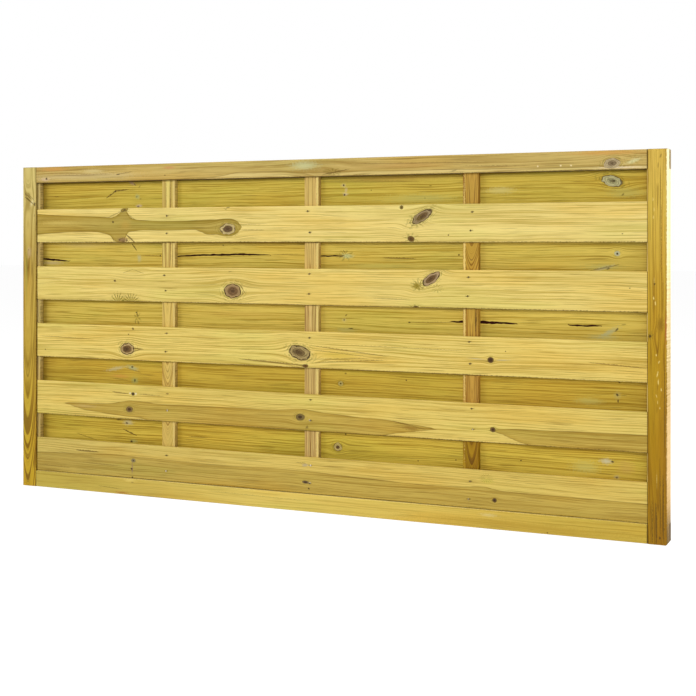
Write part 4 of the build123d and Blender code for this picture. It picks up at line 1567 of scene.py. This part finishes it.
def stile_piece(name, seed):
    """A full-height bar with a groove down its inner face, and a notch behind each end for a rail's lap.

    The right stile's lower outer corner is worn round.
    """
    low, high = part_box(name)
    right = low.x > MID_LENGTH
    outer, inner, into_panel = (high.x, low.x, -1) if right else (low.x, high.x, 1)
    floor_x = inner - into_panel * GROOVE_DEPTH
    corners = [
        (outer, low.y, BAR_EDGE),
        (inner, low.y, BAR_EDGE),
        (inner, -FAR_FACE_Y, GROOVE_LIP),
        (floor_x, -FAR_FACE_Y, 0),
        (floor_x, FAR_FACE_Y, 0),
        (inner, FAR_FACE_Y, GROOVE_LIP),
        (inner, high.y, BAR_EDGE),
        (outer, high.y, BAR_EDGE),
    ]
    parts = [9, 1, 3, 5, 3, 1, 9, 9]
    outline = rounded_outline(corners[::-1] if right else corners, parts)
    ends = shrunk(outline, END_EASE)
    worn = [low.z + step for step in worn_steps()]
    heights = worn + even_steps(worn[-1], high.z - END_EASE, CELL_ALONG)[1:]
    stations = [(low.z, ends), (low.z + END_EASE / 4, outline)]
    stations += [(height, outline) for height in heights if height > stations[-1][0]]
    stations.append((high.z, ends))

    def worn_corner(x, height):
        return min(x, high.x - CORNER_WEAR + worn_reach(height - low.z))

    bar = swept_bar(name + "_timber", stations, True, seed, worn_corner if right else None)
    left_x, right_x, back_y = low.x - CUT_BEYOND, high.x + CUT_BEYOND, high.y + CUT_BEYOND
    notch = [(left_x, 0.0), (right_x, 0.0), (right_x, back_y), (left_x, back_y)]
    lap = high.x - low.x
    spans = [(low.z - CUT_BEYOND, low.z + lap), (high.z - lap, high.z + CUT_BEYOND)]
    return cut_away(bar, [(notch, span) for span in spans])


def rail_piece(name, seed):
    """A full-length bar with half-lapped ends: all but the back half and a stub in the groove is cut away.

    The bottom rail's lap is worn round at the panel's lower right corner, as the stile in front of it is.
    """
    low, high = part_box(name)
    corners = [
        (low.z, low.y, BAR_EDGE),
        (high.z, low.y, BAR_EDGE),
        (high.z, high.y, BAR_EDGE),
        (low.z, high.y, BAR_EDGE),
    ]
    outline = rounded_outline(corners, [10, 10, 10, 10])
    ends = shrunk(outline, END_EASE)
    worn = [high.x - step for step in reversed(worn_steps()[:-1])]
    runs = even_steps(low.x + CELL_ALONG, high.x - CORNER_WEAR, CELL_ALONG) + worn
    stations = [(low.x, ends), (low.x + END_EASE / 4, outline)]
    stations += [(along, outline) for along in runs if along < high.x - END_EASE / 4]
    stations += [(high.x - END_EASE / 4, outline), (high.x, ends)]

    def worn_corner(z, along):
        return max(z, low.z + CORNER_WEAR - worn_reach(high.x - along))

    bar = swept_bar(name + "_timber", stations, False, seed, worn_corner if low.z < 0 else None)
    stub_x, front_y = SHOULDER - STUB_LENGTH, low.y - CUT_BEYOND
    left = [(-CUT_BEYOND, front_y), (SHOULDER, front_y), (SHOULDER, -FAR_FACE_Y), (stub_x, -FAR_FACE_Y)]
    left += [(stub_x, 0.0), (-CUT_BEYOND, 0.0)]
    right = [(PANEL_LENGTH - x, y) for x, y in reversed(left)]
    span = (low.z - CUT_BEYOND, high.z + CUT_BEYOND)
    return cut_away(bar, [(left, span), (right, span)])


def planed_piece(name, material, seed, shakes=()):
    """A slat or batten: the planed board at its node's place and size, with its drying cracks."""
    low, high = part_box(name)
    size, place = high - low, (low + high) / 2
    upright = size.z > size.x
    length, width = (size.z, size.x) if upright else (size.x, size.z)
    edge = BATTEN_EDGE if upright else SLAT_EDGE
    turn = (0.0, -math.pi / 2, 0.0) if upright else (0.0, 0.0, 0.0)
    piece = new_piece(name + "_timber")
    give(
        piece, PLANED_BOARD, length=length, width=width, thickness=size.y, edge_radius=edge,
        cell_along=CELL_ALONG, cell_across=CELL_ACROSS, unevenness=UNEVEN, seed=seed,
        turn=turn, place=tuple(place), timber=material,
    )
    flat = width - 2 * edge
    row_step = flat / (math.floor(flat / CELL_ACROSS) + 1)
    for index, shake in enumerate(shakes):
        start, start_height = behind(shake.start, shake.start_height, low.y)
        end, end_height = behind(shake.end, shake.end_height, low.y)
        give(
            piece, OPEN_SHAKE, start=start, end=end, start_height=start_height + FOOT_Z,
            end_height=end_height + FOOT_Z, rise=shake.rise, width=shake.width, depth=shake.depth,
            face=low.y, first_row=low.z + edge, row_step=row_step, seed=seed + index, timber=material,
        )
    settle(piece)
    return piece


# The nails in the front slats, by how far along the panel and how high above its foot they stand
DARK_NAILS = [
    (0.473, 0.759), (0.473, 0.712), (0.894, 0.767), (0.900, 0.713), (1.335, 0.761), (1.331, 0.716),
    (0.465, 0.599), (0.470, 0.558), (0.899, 0.607), (0.897, 0.556), (1.325, 0.603), (1.322, 0.557),
    (0.472, 0.443), (0.470, 0.394), (0.899, 0.444), (0.895, 0.3935), (1.328, 0.447), (1.329, 0.394),
    (0.475, 0.2807), (0.902, 0.2857), (0.902, 0.233), (1.334, 0.2857), (0.472, 0.115), (0.899, 0.072),
    (1.330, 0.110),
]
# These few heads are pale zinc that stands in for glints: a painted glint
GLINT_NAILS = [(0.475, 0.2357), (1.3367, 0.236), (0.4717, 0.073), (0.9017, 0.118), (1.3257, 0.0667)]


def nail_spots(name):
    """A dark spot round each nail in a front slat."""
    low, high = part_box(name)
    places = [*DARK_NAILS, *GLINT_NAILS]
    inside = [(along, height) for along, height in places if low.z < height + FOOT_Z < high.z]
    return [Spot(along, height, 0.0068, 0.0024, 0.1, 0.75) for along, height in inside]


def back_nails():
    """Two nails at each crossing of a back slat and a middle batten, none quite in line."""
    places = []
    for slat in range(1, 6):
        low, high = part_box(f"back_slat_{slat}")
        for batten in (1, 2, 3):
            sway = 0.004 * math.sin(2.4 * slat + 1.7 * batten)
            for height in (low.z + NAIL_INSET, high.z - NAIL_INSET):
                places.append((batten_middle(batten) + sway, height + 0.5 * sway))
                sway = -0.6 * sway
    return places


def nails(name, points, facing, metal, seed):
    """Nail heads on the given points, made one piece that belongs to no slot."""
    mesh = bpy.data.meshes.new(name)
    mesh.from_pydata(points, [], [])
    piece = new_piece(name, mesh)
    give(
        piece, NAIL_HEADS, head_radius=NAIL_RADIUS, head_height=NAIL_HEIGHT, lean=NAIL_LEAN,
        facing=facing, seed=seed, metal=metal,
    )
    settle(piece)
    belongs(piece, None)


def nail_metal(name, low, high):
    """Zinc, clouded by the weather between two tones."""
    material, g = new_material(name)
    where = g.add("ShaderNodeTexCoord").outputs["Object"]
    bloom = g.cloud(where, 900.0, 3.0, 0.6)
    bump = g.add("ShaderNodeBump", {"Strength": 0.3, "Distance": 0.0001, "Height": bloom}).outputs[0]
    surface = {"Base Color": g.mix(g.step(bloom, 0.35, 0.65), low, high), "Metallic": 0.6, "Normal": bump}
    surface["Roughness"] = g.step(bloom, 0.3, 0.7, 0.45, 0.7)
    shader = g.add("ShaderNodeBsdfPrincipled", surface)
    g.add("ShaderNodeOutputMaterial", {"Surface": shader.outputs[0]})
    return material


def make_front_slats():
    """The front slats, with a dark spot round each nail and painted shade along their lower arrises."""
    for number, look in enumerate(front_slat_looks(), 1):
        name = f"front_slat_{number}"
        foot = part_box(name)[0].z - FOOT_Z
        # Painted shade along the slat's lower arris
        painted_shade = Patch(MID_LENGTH, foot, PANEL_LENGTH, 0.0034, PITCH, 1.0)
        look = replace(look, spots=[*look.spots, *nail_spots(name)], patches=[*look.patches, painted_shade])
        material = timber(name + "_wood", look, False, SLAT_FACE_Y)
        belongs(planed_piece(name, material, look.seed), "slat_timber", name)


def make_back_slats():
    """The back slats, two of them with open drying cracks."""
    for number, look in enumerate(back_slat_looks(), 1):
        name = f"back_slat_{number}"
        shakes = BACK_SHAKES.get(name, ())
        if shakes:
            low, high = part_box(name)
            look = replace(look, cracks=(low.z - FOOT_Z + CRACK_INSET, high.z - FOOT_Z - CRACK_INSET))
        material = timber(name + "_wood", look, False, BACK_SLAT_FACE_Y)
        belongs(planed_piece(name, material, look.seed, shakes), "slat_timber", name)


def make_battens():
    """The middle battens, and the end battens in the stiles' grooves."""
    for name, look in batten_looks().items():
        material = timber(name + "_wood", look, True, BATTEN_FACE_Y)
        belongs(planed_piece(name, material, look.seed), "batten_timber", name)


def make_frame():
    """The rails and the stiles."""
    for name, look in frame_looks().items():
        upright = name.endswith("stile")
        material = timber(name + "_wood", look, upright, BAR_FACE_Y)
        piece = stile_piece(name, look.seed) if upright else rail_piece(name, look.seed)
        piece.data.materials.append(material)
        belongs(piece, "frame_timber", name)


def make_nails():
    """The nail heads on both faces: most are dark, and a few in the lower front slats are pale, a painted
    glint.
    """
    dark = nail_metal("weathered_zinc", paint(62, 48, 26), paint(104, 86, 52))
    # Pale zinc as a painted glint on a few heads
    bright = nail_metal("bright_zinc", paint(176, 164, 138), paint(226, 220, 204))
    for label, places, metal in (("dark", DARK_NAILS, dark), ("bright", GLINT_NAILS, bright)):
        points = [(along, SLAT_FACE_Y + NAIL_SUNK, height + FOOT_Z) for along, height in places]
        nails(f"front_nails_{label}", points, (math.pi / 2, 0.0, 0.0), metal, seed=3)
    points = [(along, FAR_FACE_Y - NAIL_SUNK, z) for along, z in back_nails()]
    nails("back_nails", points, (-math.pi / 2, 0.0, 0.0), dark, seed=5)


def make_floor():
    """A plain white floor under the panel's foot that keeps a faint shadow."""
    z = FOOT_Z - FLOOR_GAP
    corners = [(-1, -1), (1, -1), (1, 1), (-1, 1)]
    mesh = bpy.data.meshes.new("floor")
    mesh.from_pydata([(x * FLOOR_REACH, y * FLOOR_REACH, z) for x, y in corners], [], [(0, 1, 2, 3)])
    floor = new_piece("floor", mesh)
    material, g = new_material("white_floor")
    where = g.add("ShaderNodeTexCoord").outputs["Object"]
    colour = g.mix(g.cloud(where, 3.0, 3.0), (0.86, 0.86, 0.86, 1.0), (0.90, 0.90, 0.90, 1.0))
    plain = g.add("ShaderNodeBsdfDiffuse", {"Color": colour}).outputs[0]
    white = g.add("ShaderNodeEmission", {"Color": (1.0, 1.0, 1.0, 1.0), "Strength": FLOOR_GLOW}).outputs[0]
    share = g.math("MULTIPLY", g.seen_straight(), FLOOR_GLOW_SHARE)
    surface = g.add("ShaderNodeMixShader", {0: share, 1: plain, 2: white}).outputs[0]
    g.add("ShaderNodeOutputMaterial", {"Surface": surface})
    floor.data.materials.append(material)


def make_world():
    """Soft light from all round, and a white backdrop for the camera."""
    world = bpy.data.worlds.new("studio")
    world.use_nodes = True
    bpy.context.scene.world = world
    world.node_tree.nodes.clear()
    g = Graph(world.node_tree)
    strength = g.step(g.seen_straight(), 0.0, 1.0, AMBIENT, 1.0)
    light = g.add("ShaderNodeBackground", {"Color": (1.0, 1.0, 1.0, 1.0), "Strength": strength})
    g.add("ShaderNodeOutputWorld", {"Surface": light.outputs[0]})


def softbox(name, place, target, size, power):
    """An area lamp at a place, turned to face its target."""
    lamp = bpy.data.lights.new(name, "AREA")
    lamp.shape = "RECTANGLE"
    lamp.size, lamp.size_y = size
    lamp.energy = power
    holder = bpy.data.objects.new(name, lamp)
    bpy.context.scene.collection.objects.link(holder)
    holder.location = place
    holder.rotation_euler = (Vector(target) - Vector(place)).to_track_quat("-Z", "Y").to_euler()


def make_lamps():
    """The main light, right of the panel near the camera, and three soft ones round it."""
    middle = (0.9, 0.0, 0.0)
    softbox("key", place=(5.0, -13.0, 3.6), target=middle, size=(3.0, 3.0), power=850.0)
    softbox("fill", place=(-2.5, -4.0, 1.5), target=middle, size=(1.4, 1.4), power=62.0)
    softbox("side", place=(5.5, 1.5, 1.2), target=(1.8, 0.0, 0.0), size=(1.5, 2.5), power=160.0)
    softbox("overhead", place=(0.9, -0.6, 3.5), target=(0.9, -0.1, 0.0), size=(2.4, 0.8), power=50.0)


def make_camera():
    """The photograph's view of the panel."""
    lens = bpy.data.cameras.new("camera")
    lens.sensor_width = CAMERA_SENSOR
    lens.lens = CAMERA_LENS
    lens.shift_y = -CAMERA_SHIFT_DOWN
    holder = bpy.data.objects.new("camera", lens)
    bpy.context.scene.collection.objects.link(holder)
    holder.location = CAMERA_PLACE
    holder.rotation_euler = (math.pi / 2, 0.0, CAMERA_TURN)
    bpy.context.scene.camera = holder


make_camera()
make_front_slats()
make_back_slats()
make_battens()
make_frame()
make_nails()
make_floor()
make_world()
make_lamps()
bpy.context.scene.view_settings.view_transform = "Standard"
